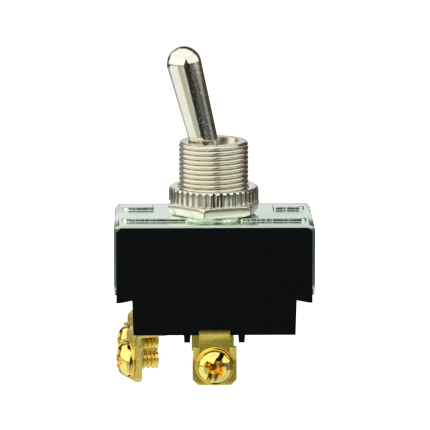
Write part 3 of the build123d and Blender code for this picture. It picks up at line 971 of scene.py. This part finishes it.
def carve(piece: Piece, cutter: Piece, operation: str = "DIFFERENCE") -> None:
    """Cuts one piece with another, which is then removed.

    Args:
        piece: that is cut.
        cutter: that cuts it.
        operation: "DIFFERENCE", or "UNION" to join the two.
    """
    cut = piece.modifiers.new("cut", "BOOLEAN")
    cut.operation, cut.solver, cut.object = operation, "EXACT", cutter
    settle(piece)
    bpy.data.objects.remove(cutter)


def soften(piece: Piece, width: float, angle: float, weld: float = DOUBLES, harden: bool = False) -> None:
    """Rounds the edges of a piece with modifiers.

    Args:
        piece: a mesh object.
        width: of the rounding, in millimetres.
        angle: edges that turn more than this are rounded, in degrees.
        weld: points closer than this, in metres, are joined first.
        harden: whether the faces beside an edge keep their flat shading.
    """
    merge = piece.modifiers.new("merge", "WELD")
    merge.merge_threshold = weld
    edge = piece.modifiers.new("edge", "BEVEL")
    edge.width, edge.segments, edge.limit_method = width * MM, EDGE_STEPS, "ANGLE"
    edge.angle_limit, edge.harden_normals = radians(angle), harden


def dress(piece: Piece, finish: Finishes) -> None:
    """Gives a piece its finish as its only material."""
    piece.data.materials.clear()
    piece.data.materials.append(finish.value.material())


def stand_for(piece: Piece, node: str, body: str, finish: Finishes) -> None:
    """Dresses a new piece, which stands for a CAD node and rides on its body.

    Args:
        piece: the new object.
        node: the CAD node that is no longer shown.
        body: that moves it.
        finish: of the piece.
    """
    dress(piece, finish)
    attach(piece, body)
    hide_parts(node)
    log.info("%s stands for %s on %s: %d faces", piece.name, node, body, len(piece.data.polygons))


# Pieces. Their sizes are in millimetres, and surface() turns them into metres.


@dataclass
class Lever:
    """Polished bat lever: tail, ball, shank that widens upwards and a round tip, on one leaning axis."""

    pivot: float = 5.55
    tilt: float = 14.1
    tail_radius: float = 1.6
    tail_reach: float = 11.8
    tail_round: float = 0.3
    ball_radius: float = 3.6
    neck_radius: float = 1.9
    waist_radius: float = 2.42
    waist_reach: float = 6.6
    waist_round: float = 6.0
    tip_radius: float = 2.948
    tip_reach: float = 20.43
    pin_radius: float = 1.02
    pin_half: float = 6.0
    arc_points: int = 25
    round_steps: int = 9
    sharp: float = 40.0
    columns: int = 144

    def arc(self, radius: float, centre: float, start: float, end: float) -> Array:
        """Outline of a ball on the axis: radius = R cos a and height = centre + R sin a."""
        a = np.linspace(start, end, self.arc_points)
        return np.stack([radius * np.cos(a), centre + radius * np.sin(a), 0 * a], -1)

    def outline(self) -> Array:
        """The section from the tail to the tip.

        Returns:
            (n, 3) radius, height and rounding, starting and ending on the axis.
        """
        low = [(0, -self.tail_reach, 0), (self.tail_radius, -self.tail_reach, self.tail_round)]
        tail, neck = np.arccos(np.array([self.tail_radius, self.neck_radius]) / self.ball_radius)
        ball = self.arc(self.ball_radius, 0.0, -tail, neck)
        waist = [(self.waist_radius, self.waist_reach, self.waist_round)]
        return np.concatenate([low, ball, waist, self.arc(self.tip_radius, self.tip_reach, 0, np.pi / 2)])

    def build(self) -> None:
        """Makes the lever, drills it for the pin and leans it to its rest."""
        lever = turned("lever_polished", self.outline(), self.columns, self.round_steps)
        carve(lever, rod(self.pin_radius, -self.pin_half, self.pin_half, turn_about("X", 90)))
        move_points(lever, turn_about("Y", -self.tilt), (0, 0, self.pivot))
        shade(lever, self.sharp)
        stand_for(lever, "toggle_lever", "lever", Finishes.LEVER)


@dataclass
class Bushing:
    """Mounting bushing with a fine helical thread, a flange under the cover and a conical mouth."""

    foot: float = -1.0
    flange_top: float = -0.4
    flange_radius: float = 6.2
    crest: float = 5.95
    depth: float = 0.36
    pitch: float = 0.82
    top: float = 12.15
    chamfer: float = 0.35
    mouth_radius: float = 4.3
    mouth_round: float = 0.25
    throat_radius: float = 3.15
    throat_round: float = 0.15
    throat_height: float = 7.95
    seat_height: float = 6.75
    bore: float = 3.8
    thread_rows: int = 14
    sharp: float = 30.0
    columns: int = 160

    def build(self) -> None:
        """Makes the bushing as one grid: the thread outside, and the mouth and bore inside."""
        angles = full_turn(self.columns)
        thread = thread_rings(angles, self.crest, self.depth, self.pitch, self.flange_top, self.top,
                              self.thread_rows)
        height = thread[..., 1]
        thread[..., 0] = np.minimum(thread[..., 0], self.crest - self.chamfer + (self.top - height))
        inside = [(self.mouth_radius, self.top, self.mouth_round),
                  (self.throat_radius, self.throat_height, self.throat_round),
                  (self.bore, self.seat_height, 0.0), (self.bore, self.foot, 0.0),
                  (self.flange_radius, self.foot, 0.0), (self.flange_radius, self.flange_top, 0.0)]
        rim = (self.crest - self.chamfer, self.top, 0.0)
        rings = np.concatenate([thread, outline_rings([rim, *inside], self.columns)[1:]])
        piece = lathe("bushing_threaded", rings, angles, sharp_deg=self.sharp)
        stand_for(piece, "threaded_bushing", "root", Finishes.BUSHING)


@dataclass
class HexNut:
    """Hexagon nut, its corners turned off on both faces."""

    flats: float = 14.2
    thickness: float = 1.8
    turn: float = 17.8
    bore: float = 6.0
    corner_round: float = 0.3
    chamfer: float = 0.6
    chamfer_drop: float = 0.33
    mouth: float = 0.25
    edge: float = 0.12
    rounding: tuple[float, ...] = (0, 0.05, 0.06, 0.06, 0.05, 0, 0, 0)
    corner_steps: int = 5
    round_steps: int = 3
    sharp: float = 24.0
    per_side: int = 18

    def rim(self) -> tuple[Array, Array]:
        """The hexagon with rounded corners, as angles and radii.

        Returns:
            angles in radians and radii, around the nut.
        """
        reach = self.flats / np.sqrt(3)
        at = np.radians(self.turn + 60 * np.arange(6))
        corners = reach * np.stack([np.cos(at), np.sin(at)], -1)[:, None]
        arcs = rounded_rings(corners, [self.corner_round] * 6, self.corner_steps)
        arcs = arcs.reshape(6, self.corner_steps, 2)
        share = np.linspace(0, 1, self.per_side)[1:-1, None]
        sides = arcs[:, None, -1] + share * (np.roll(arcs, -1, 0)[:, None, 0] - arcs[:, None, -1])
        outline = np.concatenate([arcs, sides], 1).reshape(-1, 2)
        return np.arctan2(outline[:, 1], outline[:, 0]), np.hypot(outline[:, 0], outline[:, 1])

    def build(self) -> None:
        """Carries the section around the hexagon: a column's chamfer grows with its radius."""
        angles, radii = self.rim()
        face = self.flats / np.sqrt(3) - self.chamfer
        level = np.minimum(radii - self.edge, face)
        drop = np.maximum((radii - face) * self.chamfer_drop / self.chamfer, self.edge)
        bore, mouth, high = self.bore, self.bore + self.mouth, self.thickness
        corners = section(len(radii), (mouth, 0), (level, 0), (radii, drop), (radii, high - drop),
                          (level, high), (mouth, high), (bore, high - self.mouth), (bore, self.mouth))
        rings = rounded_rings(corners, self.rounding, self.round_steps)
        piece = lathe("nut_hexagon", rings, angles, sharp_deg=self.sharp)
        stand_for(piece, "hex_nut", "hex_nut", Finishes.HEX)


@dataclass
class KnurledNut:
    """Ring nut with square teeth around its rim."""

    radius: float = 7.65
    low: float = 1.8
    thickness: float = 2.6
    teeth: int = 40
    depth: float = 0.5
    chamfer: float = 0.3
    mouth_radius: float = 6.3
    bore: float = 6.0
    tooth_round: float = 0.07
    root_round: float = 0.08
    rounding: tuple[float, ...] = (0, 0.08, 0.08, 0.1, 0.1, 0.06, 0)
    round_steps: int = 4
    least_cut: float = 0.05
    sharp: float = 28.0

    def rim(self) -> tuple[Array, Array]:
        """One tooth's outline from the middle of a gap to the middle of the next, set around.

        Returns:
            angles in radians and radii, around the nut.
        """
        pitch = 2 * np.pi * self.radius / self.teeth
        root, gap = self.radius - self.depth, pitch / 4
        tooth = [(0, root), (gap, root), (gap, self.radius), (pitch - gap, self.radius),
                 (pitch - gap, root), (pitch, root)]
        bends = [0, self.root_round, self.tooth_round, self.tooth_round, self.root_round, 0]
        line = rounded_rings(np.array(tooth)[:, None], bends, self.round_steps, closed=False)[:-1, 0]
        line = np.insert(line, 1 + 2 * self.round_steps, [[pitch / 2, self.radius]], axis=0)
        angles = full_turn(self.teeth)[:, None] + line[None, :, 0] / self.radius
        return angles.ravel(), np.tile(line[:, 1], self.teeth)

    def build(self) -> None:
        """Carries the section around the teeth: the turned-off edges stop short in the gaps."""
        angles, radii = self.rim()
        top = self.low + self.thickness
        cut = np.maximum(radii - self.radius + self.chamfer, self.least_cut)
        level, sink = radii - cut, self.mouth_radius - self.bore
        corners = section(len(radii), (self.bore, self.low), (level, self.low), (radii, self.low + cut),
                          (radii, top - cut), (level, top), (self.mouth_radius, top),
                          (self.bore, top - sink))
        rings = rounded_rings(corners, self.rounding, self.round_steps)
        piece = lathe("nut_knurled", rings, angles, sharp_deg=self.sharp)
        stand_for(piece, "knurled_nut", "knurled_nut", Finishes.KNURL)


@dataclass
class Terminal:
    """Brass terminal: a riveted foot, a fold, a strip and a wide plate that the screw goes through.

    In its own frame the plate's outer face stands at x = 0 and looks along +X.
    """

    side: str
    kind: str
    foot_height: float
    foot_length: float
    shoulder: float
    rivet: Pair
    finish: Finishes
    pole: ClassVar[float] = 4.55
    contact: ClassVar[float] = -8.597
    centre_face: ClassVar[float] = 11.2
    end_face: ClassVar[Pair] = (-14.17, 6.4)
    end_turn: ClassVar[float] = 196.0
    thickness: float = 1.0
    fold_round: float = 1.3
    strip_width: float = 5.1
    plate_width: float = 7.4
    bottom: float = -27.75
    corner_cut: float = 0.95
    ear_width: float = 1.15
    ear_height: float = 1.9
    ear_proud: float = 0.3
    screw_height: float = -24.38
    head_room: float = 3.36
    collar_radius: float = 2.5
    collar_length: float = 0.6
    collar_taper: Pair = (0.2, 0.3)
    collar_round: float = 0.1
    bore: float = 1.775
    bore_twist: float = 2.0
    bore_reach: Pair = (-4.0, 2.0)
    rivet_bore: float = 1.22
    pad_radius: float = 2.3
    edge: float = 0.1
    edge_angle: float = 30.0
    sharp: float = 35.0
    fold_points: int = 9
    ear_points: int = 13

    def leg(self) -> Piece:
        """The folded strip with its plate, as one grid of eight columns around the section.

        Around the fold both faces are arcs about the point (-fold, foot - fold). The section's half
        width is the strip's down to the shoulder, then the plate's, and shrinks over the corner cut.

        Returns:
            The leg.
        """
        fold, thick, foot = self.fold_round, self.thickness, self.foot_height
        turn = np.linspace(np.pi / 2, 0, self.fold_points)
        bend = np.stack([np.cos(turn), np.sin(turn)], -1)
        middle = np.array([-fold, foot - fold])
        levels = [self.shoulder, self.shoulder, self.bottom + self.corner_cut, self.bottom]
        outer, inner = (
            np.concatenate([[(-self.foot_length, foot - deep)], middle + (fold - deep) * bend,
                            [(-deep, z) for z in levels]]) for deep in (0, thick))
        strip, plate = self.strip_width / 2, self.plate_width / 2
        wide = np.array([strip] * (len(outer) - 3) + [plate, plate, plate - self.corner_cut])
        narrow = np.full_like(wide, strip)
        across = np.stack([-wide, -narrow, narrow, wide, wide, narrow, -narrow, -wide], -1)
        faces = np.stack([outer] * 4 + [inner] * 4, 1)
        points = np.stack([faces[..., 0], across, faces[..., 1]], -1)
        caps = [(0, 1, 6, 7), (1, 2, 5, 6), (2, 3, 4, 5)]
        return tube(f"terminal_{self.kind}_{self.side}", points, caps=caps)

    def ear(self, flank: int) -> Piece:
        """A raised ear beside the screw head.

        Its inner side is the larger of y = sqrt(R * R - h * h), where R is the room that the head
        needs and h the height from the screw, and the plate's half width less the ear's.

        Args:
            flank: 1 or -1, the side along Y.

        Returns:
            The ear.
        """
        height = np.linspace(self.shoulder - self.ear_height, self.shoulder, self.ear_points)
        rim = np.sqrt(np.clip(self.head_room ** 2 - (height - self.screw_height) ** 2, 0, None))
        half = self.plate_width / 2
        near = np.maximum(rim, half - self.ear_width)
        far, low, high = np.full_like(near, half), -self.thickness / 2, self.ear_proud
        across = flank * np.stack([near, near, far, far], -1)
        out = np.broadcast_to([low, high, high, low], across.shape)
        points = np.stack([out, across, np.repeat(height[:, None], 4, 1)], -1)
        return tube("ear", points, caps=[(0, 1, 2, 3)])

    def collar(self) -> Piece:
        """The drawn collar behind the plate, along -X.

        Returns:
            The collar.
        """
        front, back = -self.thickness / 2, -self.thickness - self.collar_length
        inset, rise = self.collar_taper
        wide = self.collar_radius
        corners = [(0, back, 0), (wide - inset, back, 0), (wide, back + rise, self.collar_round),
                   (wide, front, 0), (0, front, 0)]
        piece = turned("collar", corners, BORE_COLUMNS)
        move_points(piece, turn_about("Y", 90), (0, 0, self.screw_height))
        return piece

    def pad(self, place: float, reach: Sequence[float]) -> Piece:
        """The foot's pad: the hull of a circle about the rivet and the end of the folded strip.

        The hull's point in each direction is the candidate point that reaches furthest that way.

        Args:
            place: turn of the terminal about Z, in degrees.
            reach: where its outer face stands.

        Returns:
            The pad, in the part's frame.
        """
        turn = full_turn(2 * BORE_COLUMNS)
        ways = np.stack([np.cos(turn), np.sin(turn)], -1)
        fold, half = self.fold_round, self.strip_width / 2
        stub = np.array([(x, y) for x in (-self.foot_length, -fold) for y in (-half, half)])
        stub = stub @ turn_about("Z", place)[:2, :2].T + np.array(reach[:2])
        candidates = np.concatenate([self.pad_radius * ways + np.array(self.rivet), stub])
        outline = candidates[np.argmax(candidates @ ways.T, 0)]
        middle = np.broadcast_to(outline.mean(0), outline.shape)
        heights = self.foot_height - self.thickness * np.array([1, 1, 0, 0])
        points = np.stack([np.column_stack([ring, np.full(len(ring), z)])
                           for ring, z in zip((middle, outline, outline, middle), heights)])
        return tube("foot_pad", points)

    def build(self) -> None:
        """Joins leg, ears, collar and pad, bores them, and sets the terminal in its place."""
        leg = self.leg()
        for flank in (-1, 1):
            carve(leg, self.ear(flank), "UNION")
        carve(leg, self.collar(), "UNION")
        bore_turn = turn_about("Y", 90) @ turn_about("Z", self.bore_twist)
        carve(leg, rod(self.bore, *self.bore_reach, bore_turn, (0, 0, self.screw_height)))
        place, reach = seat_of(self.kind, self.side)
        move_points(leg, turn_about("Z", place), reach)
        if self.kind == "end":
            carve(leg, self.pad(place, reach), "UNION")
        rivet_at = (*self.rivet, self.foot_height)
        carve(leg, rod(self.rivet_bore, -2 * self.thickness, 2 * self.thickness, shift=rivet_at))
        soften(leg, self.edge, self.edge_angle)
        settle(leg)
        shade(leg, self.sharp)
        stand_for(leg, f"{self.kind}_terminal_{self.side}", "root", self.finish)


def seat_of(kind: str, side: str) -> tuple[float, Triple]:
    """Where a terminal's outer face stands: its turn about Z in degrees and a point on it.

    Args:
        kind: "centre" or "end".
        side: "front" or "rear".

    Returns:
        The turn and the point.
    """
    outward = -1 if side == "front" else 1
    if kind == "centre":
        return outward * 90.0, (0.0, outward * Terminal.centre_face, 0.0)
    along, out = Terminal.end_face
    return Terminal.end_turn, (along, outward * out, 0.0)


@dataclass
class BindingScrew:
    """Terminal screw with a low domed head, slotted and cross recessed, and a threaded shank."""

    side: str
    kind: str
    head_radius: float = 2.93
    head_rim: float = 0.42
    head_height: float = 2.31
    head_power: float = 2.35
    flange_radius: float = 3.28
    rim_round: float = 0.16
    foot_round: float = 0.1
    dome_points: int = 24
    dome_end: float = 0.06
    round_steps: int = 4
    edge: float = 0.07
    edge_angle: float = 35.0
    sharp: float = 38.0
    slot_width: float = 0.82
    slot_length: float = 8.0
    slot_depth: float = 1.15
    slot_turn: float = 27.5
    cross_length: float = 4.1
    cross_width: float = 1.25
    cross_depth: float = 1.75
    cross_taper: float = 0.38
    shank_radius: float = 1.725
    shank_length: float = 4.5
    shank_bare: float = 0.5
    thread_depth: float = 0.36
    thread_power: float = 1.1
    pitch: float = 0.8
    thread_rows: int = 12
    mark_depth: float = 0.12
    mark_margin: Pair = (0.05, 0.01)
    mark_reach: float = 0.46
    mark_thread: float = 0.4
    mark_low: float = 0.35
    lift: float = 0.02
    columns: int = 96

    def blank(self) -> Piece:
        """The screw before it is slotted, head up on +Z.

        The dome has a flat middle and steep sides: radius = R cos(t) ** (2/n) and
        height = rim + rise sin(t) ** (2/n), with n the head's power. It stands on a thin flange. The
        shank is a helical thread that fades out at the tip.

        Returns:
            The blank.
        """
        t = np.linspace(np.pi / 2, self.dome_end, self.dome_points)
        radius = self.head_radius * np.clip(np.cos(t), 0, 1) ** (2 / self.head_power)
        rise = (self.head_height - self.head_rim) * np.sin(t) ** (2 / self.head_power)
        dome = np.stack([radius, self.head_rim + rise, 0 * t], -1)
        rim = [(self.head_radius, self.head_rim, 0.0), (self.flange_radius, self.head_rim, self.rim_round),
               (self.flange_radius, 0, self.foot_round), (self.shank_radius, 0, self.foot_round),
               (self.shank_radius, -self.shank_bare, 0)]
        angles = full_turn(self.columns)
        upper = outline_rings(np.concatenate([dome, rim]), self.columns, self.round_steps)
        thread = thread_rings(angles, self.shank_radius, self.thread_depth, self.pitch,
                              -self.shank_length, -self.shank_bare, self.thread_rows,
                              self.thread_power)[::-1]
        rings = np.concatenate([upper, thread, thread[-1:] * (0, 1)])
        return lathe(f"screw_{self.kind}_{self.side}", rings, angles, closed=False)

    def mark_recess(self, screw: Piece) -> None:
        """Stores a number on each face: 0.5 in the cross, 1 at the slot's ends, less on rim and thread.

        A face is in the recess where its middle lies well below the dome's height at that radius, which is
        the one that blank() gives. The screw's finish paints light from the number: an orange reflection up
        to 0.5, and shade at 1.

        Args:
            screw: the screw before it is set in place, head up on +Z.
        """
        mesh = screw.data
        middle = np.empty(len(mesh.polygons) * 3, np.float32)
        mesh.polygons.foreach_get("center", middle)
        x, y, z = middle.reshape(-1, 3).T / MM
        radius = np.hypot(x, y)
        flat = np.clip(1 - (radius / self.head_radius) ** self.head_power, 0, 1)
        dome = self.head_rim + (self.head_height - self.head_rim) * flat ** (1 / self.head_power)
        above, under = self.mark_margin
        deep = (dome - z > self.mark_depth) & (z > self.head_rim + above)
        far = deep & (radius > self.mark_reach * self.cross_length)
        flange = ~deep & (z < self.head_rim + under) & (z > 0)
        thread = (z < 0) & (radius < self.shank_radius - self.mark_thread * self.thread_depth)
        # painted reflection in the cross, on the flange and in the thread's roots; painted shade at the
        # slot's ends
        mark = 0.5 * deep + 0.5 * far + self.mark_low * (flange | thread)
        mesh.attributes.new("recess", "FLOAT", "FACE").data.foreach_set("value", mark.astype(np.float32))

    def build(self) -> None:
        """Slots the blank, rounds the edges of the recess and sets the screw into its terminal."""
        screw, high, deep = self.blank(), self.head_height, self.slot_depth
        carve(screw, brick(self.slot_width, self.slot_length, high - deep, high + deep))
        for turn in (0.0, 90.0):
            cross = brick(self.cross_width, self.cross_length, high - self.cross_depth, high,
                          self.cross_taper)
            move_points(cross, turn_about("Z", turn))
            carve(screw, cross)
        soften(screw, self.edge, self.edge_angle)
        settle(screw)
        self.mark_recess(screw)
        place, reach = seat_of(self.kind, self.side)
        move_points(screw, turn_about("Y", 90) @ turn_about("Z", 90 - self.slot_turn),
                    (self.lift, 0, Terminal.screw_height))
        move_points(screw, turn_about("Z", place), reach)
        shade(screw, self.sharp)
        name = f"{self.kind}_screw_{self.side}"
        stand_for(screw, name, name, Finishes.SCREW)


@dataclass
class CoilSpring:
    """Coil spring between the lever's socket and a plunger."""

    side: str
    pole: float
    wire_radius: float = 0.16
    coil_radius: float = 1.19
    turns: int = 4
    low: float = -13.22
    high: float = -10.98
    travel: float = 0.82
    steps: int = 24
    sharp: float = 60.0
    columns: int = 12

    def build(self) -> None:
        """Sweeps a round wire along a helix and sets it in its socket.

        With a the angle along the helix, its line is (R cos a, R sin a, low + slope a), its unit
        tangent t, and n = (cos a, sin a, 0). The surface is line + r (n cos c + (t x n) sin c), and r
        is 0 at both ends, which closes them.
        """
        span = 2 * np.pi * self.turns
        slope = (self.high - self.low) / span
        a = np.linspace(0, span, self.turns * self.steps + 1)
        a = np.concatenate([a[:1], a, a[-1:]])[:, None]
        r = np.full_like(a, self.wire_radius)
        r[[0, -1]] = 0
        c = full_turn(self.columns)[:, None]
        outward = np.stack([np.cos(a), np.sin(a), 0 * a], -1)
        tangent = np.stack([-np.sin(a), np.cos(a), 0 * a + slope / self.coil_radius], -1)
        line = self.coil_radius * outward + np.stack([0 * a, 0 * a, self.low + slope * a], -1)
        points = line + r[..., None] * (outward * np.cos(c) + np.cross(unit(tangent), outward) * np.sin(c))
        spring = tube(f"coil_spring_{self.side}", points, sharp_deg=self.sharp)
        turn, pivot = turn_about("Y", -Lever.tilt), np.array((0, self.pole, Lever.pivot))
        move_points(spring, turn, pivot)
        stand_for(spring, f"plunger_spring_{self.side}", "lever", Finishes.SPRING)
        length = self.high - self.low + 2 * self.wire_radius
        top = turn @ (0, 0, self.high + self.wire_radius) + pivot
        tuple(top * MM)
        1 - self.travel / length
        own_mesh(spring)


@dataclass
class Drawn:
    """Pieces that keep the solids of the part: their finishes, and how round their edges are."""

    edges: dict[str, float] = field(default_factory=lambda: {
        "metal_cover": 0.15, "switch_housing": 0.12})
    finishes: dict[str, Finishes] = field(default_factory=lambda: {
        "metal_cover": Finishes.ZINC, "switch_housing": Finishes.BODY, "cover_insulator": Finishes.FIBRE,
        "lever_pivot_pin": Finishes.PIN, "plunger_carrier": Finishes.NYLON})
    pairs: dict[str, Finishes] = field(default_factory=lambda: {
        "plunger": Finishes.TURNED_BRASS, "rocker": Finishes.COPPER,
        "moving_contact": Finishes.SILVER, "fixed_contact": Finishes.SILVER,
        "rocker_cradle": Finishes.STRIP, "cradle_rivet": Finishes.STRIP})
    edge_angle: float = 30.0
    weld: float = 1e-6

    def build(self) -> None:
        """Dresses every solid that stays, and rounds the edges of the ones that are seen."""
        finishes = dict(self.finishes)
        for name, finish in self.pairs.items():
            finishes |= {f"{name}_{side}": finish for side in ("front", "rear")}
        for node, finish in finishes.items():
            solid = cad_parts[node]
            dress(solid, finish)
            if node in self.edges:
                soften(solid, self.edges[node], self.edge_angle, self.weld, harden=True)
            log.info("%s keeps its solid and gets %s", node, finish.value.name)


# Studio


@dataclass(frozen=True)
class Panel:
    """One panel of the reflected studio, between two bearings and two elevations, in degrees.

    A bearing is 0 towards the camera, which stands in front, and grows towards +X. Each upright
    side may lean: its bearing then grows by that many degrees for each degree of elevation.
    """

    bearing: Pair
    elevation: Pair
    colour: Triple
    soft: float = 2.0
    lean: Pair = (0.0, 0.0)

    def share(self, bearing: Num, rise: Num) -> Num:
        """1 inside the panel, falling to 0 over soft outside it.

        Args:
            bearing: of the direction, in degrees.
            rise: its elevation, in degrees.

        Returns:
            The share, from 0 to 1.
        """
        left = (bearing - self.lean[0] * rise).step(self.bearing[0] - self.soft, self.bearing[0])
        right = (bearing - self.lean[1] * rise).step(self.bearing[1], self.bearing[1] + self.soft)
        return left * (1 - right) * rise.window(*self.elevation, self.soft)


@dataclass
class Studio:
    """White floor and background, soft lights, and a surround that only reflections show."""

    dark: Triple = (0.024, 0.021, 0.018)
    panels: tuple[Panel, ...] = (
        # table
        Panel((-180, 180), (-90, -25), (0.72, 0.73, 0.70), 4),
        Panel((-80, 3), (-90, -9), (0.98, 1.00, 0.95), 3, (2.27, 1.0)),
        Panel((-44, -18), (-32, -12), (0.50, 0.54, 0.41), 7),
        Panel((0, 13), (-90, -8), (0.03, 0.03, 0.02), 4),
        Panel((-166, -130), (-50, -16), (0.55, 0.56, 0.52), 4),
        Panel((-160, -6), (-7, 0), (0.24, 0.23, 0.17), 2),
        # room on the right
        Panel((38, 60), (-20, 6), (0.11, 0.115, 0.11), 6),
        Panel((70, 95), (-20, 6), (0.27, 0.285, 0.26), 4),
        Panel((105, 155), (-20, 40), (0.07, 0.055, 0.04), 6),
        Panel((26, 50), (-24, -10), (0.75, 0.77, 0.68), 4),
        # softboxes at the left, at the right and overhead
        Panel((-119, -3.5), (-2, 44), (1.30, 1.29, 1.20), 2, (0.0, 0.364)),
        Panel((-140, -110), (22, 44), (1.30, 1.29, 1.20), 3),
        Panel((-163, -140), (-2, 60), (0.26, 0.25, 0.20), 3),
        Panel((32, 116), (9, 44), (1.15, 1.14, 1.06), 2, (-0.382, 0.0)),
        Panel((-180, 180), (47, 91), (1.20, 1.19, 1.12), 2),
        # backdrop
        Panel((-180, -162), (26, 58), (0.05, 0.055, 0.045), 3),
        Panel((132, 180), (26, 58), (0.05, 0.055, 0.045), 3),
        Panel((-180, -170), (-70, -8), (0.03, 0.03, 0.03), 3),
        Panel((170, 180), (-70, -8), (0.03, 0.03, 0.03), 3),
        Panel((-180, -160), (-4, 21), (0.84, 0.84, 0.82), 5),
        Panel((160, 180), (-4, 21), (0.78, 0.78, 0.76), 5),
    )
    lamps: tuple[tuple[str, Triple, float, float], ...] = (
        ("key", (-0.5, -0.5, 0.6), 0.7, 6.0), ("fill", (0.6, -0.4, 0.3), 0.6, 2.5))
    radius: float = 900.0
    rows: int = 33
    columns: int = 64
    floor_half: float = 2500.0
    floor_height: float = -27.75
    floor_colour: Triple = (0.80, 0.80, 0.80)
    floor_glow: float = 0.45
    target: Triple = (0.233, 0.0, -0.736)
    bearing: float = -0.894
    elevation: float = 11.104
    distance: float = 574.7
    lens: float = 282.7
    sensor: float = 36.0
    clip: Pair = (0.01, 10.0)

    def build(self) -> None:
        """Floor, surround, world, lights and camera."""
        bpy.context.scene.view_settings.view_transform = "Standard"
        self.floor()
        self.surround()
        self.world()
        self.lights()
        self.camera()

    def floor(self) -> None:
        """Plain pale floor under the terminals."""
        half, z = self.floor_half, self.floor_height
        points = np.array([(-half, -half, z), (half, -half, z), (half, half, z), (-half, half, z)])
        piece = surface("floor", points, np.array([(0, 1, 2, 3)]))
        material, graph = blank_material("floor_white")
        shader = graph.node("BsdfPrincipled", Base_Color=self.floor_colour, Roughness=1.0,
                            Specular_IOR_Level=0.0, Emission_Color=(1, 1, 1),
                            Emission_Strength=self.floor_glow)
        graph.node("OutputMaterial", Surface=shader.outputs[0])
        self.put(piece, material, "glossy")

    def surround(self) -> None:
        """Sphere whose brightness depends on the direction from the middle."""
        turn = full_turn(self.columns)
        rise = np.linspace(-np.pi / 2, np.pi / 2, self.rows)[:, None]
        points = self.radius * np.stack([np.cos(rise) * np.cos(turn), np.cos(rise) * np.sin(turn),
                                         np.sin(rise) + 0 * turn], -1)
        piece = tube("surround", points)
        material, graph = blank_material("surround_glow")
        x, y, z = graph.axes()
        bearing = x.math("ARCTAN2", -y) * (180 / np.pi)
        rise = (z / self.radius / MM).math("ARCSINE") * (180 / np.pi)
        colour = self.dark
        for panel in self.panels:
            colour = graph.blend(panel.share(bearing, rise), colour, panel.colour)
        glow = graph.node("Emission", Color=colour, Strength=1.0)
        graph.node("OutputMaterial", Surface=glow.outputs[0])
        self.put(piece, material, "camera", "diffuse", "transmission", "volume_scatter", "shadow")

    def put(self, piece: Piece, material: bpy.types.Material, *rays: str) -> None:
        """Adds a glowing piece to the studio, hidden from rays of the named kinds.

        Args:
            piece: the new object.
            material: its only material.
            rays: that pass through it.
        """
        material.cycles.emission_sampling = "NONE"
        piece.data.materials.append(material)
        for kind in rays:
            setattr(piece, "visible_" + kind, False)

    def world(self) -> None:
        """White background that also gives the even light."""
        world = bpy.data.worlds.new("studio_white")
        world.use_nodes = True
        graph = Graph(world.node_tree)
        sky = graph.node("Background", Color=(1, 1, 1), Strength=1.0)
        graph.node("OutputWorld", Surface=sky.outputs[0])
        bpy.context.scene.world = world

    def lights(self) -> None:
        """Two large soft lights, high on the left and low on the right."""
        for name, place, size, power in self.lamps:
            light = bpy.data.lights.new(name, "AREA")
            light.energy, light.size, light.use_shadow = power, size, False
            lamp = bpy.data.objects.new(name, light)
            lamp.location = place
            lamp.rotation_euler = (-lamp.location).to_track_quat("-Z", "Y").to_euler()
            lamp.visible_glossy = False
            bpy.context.scene.collection.objects.link(lamp)

    def camera(self) -> None:
        """Camera at the photograph's angle."""
        lens = bpy.data.cameras.new("camera")
        lens.lens, lens.sensor_width = self.lens, self.sensor
        lens.clip_start, lens.clip_end = self.clip
        camera = bpy.data.objects.new("camera", lens)
        turn, rise = radians(self.bearing), radians(self.elevation)
        back = np.array([sin(turn) * cos(rise), -cos(turn) * cos(rise), sin(rise)])
        camera.location = (np.array(self.target) + self.distance * back) * MM
        camera.rotation_euler = Vector(-back).to_track_quat("-Z", "Y").to_euler()
        bpy.context.scene.collection.objects.link(camera)
        bpy.context.scene.camera = camera


def main() -> None:
    """Builds the studio and every piece in order."""
    logging.basicConfig(level=logging.INFO, format="%(message)s")
    Studio().build()
    Drawn().build()
    Lever().build()
    Bushing().build()
    HexNut().build()
    KnurledNut().build()
    for side, front in (("front", -1), ("rear", 1)):
        pole = front * Terminal.pole
        CoilSpring(side, pole).build()
        Terminal(side, "centre", foot_height=-18.9, foot_length=8.95, shoulder=-21.2,
                 rivet=(0.0, pole), finish=Finishes.STRIP).build()
        Terminal(side, "end", foot_height=-19.2, foot_length=2.1, shoulder=-21.6,
                 rivet=(Terminal.contact, pole), finish=Finishes.END_STRIP).build()
        BindingScrew(side, "centre").build()
        BindingScrew(side, "end", slot_turn=-6.0).build()


if __name__ == "__main__":
    main()
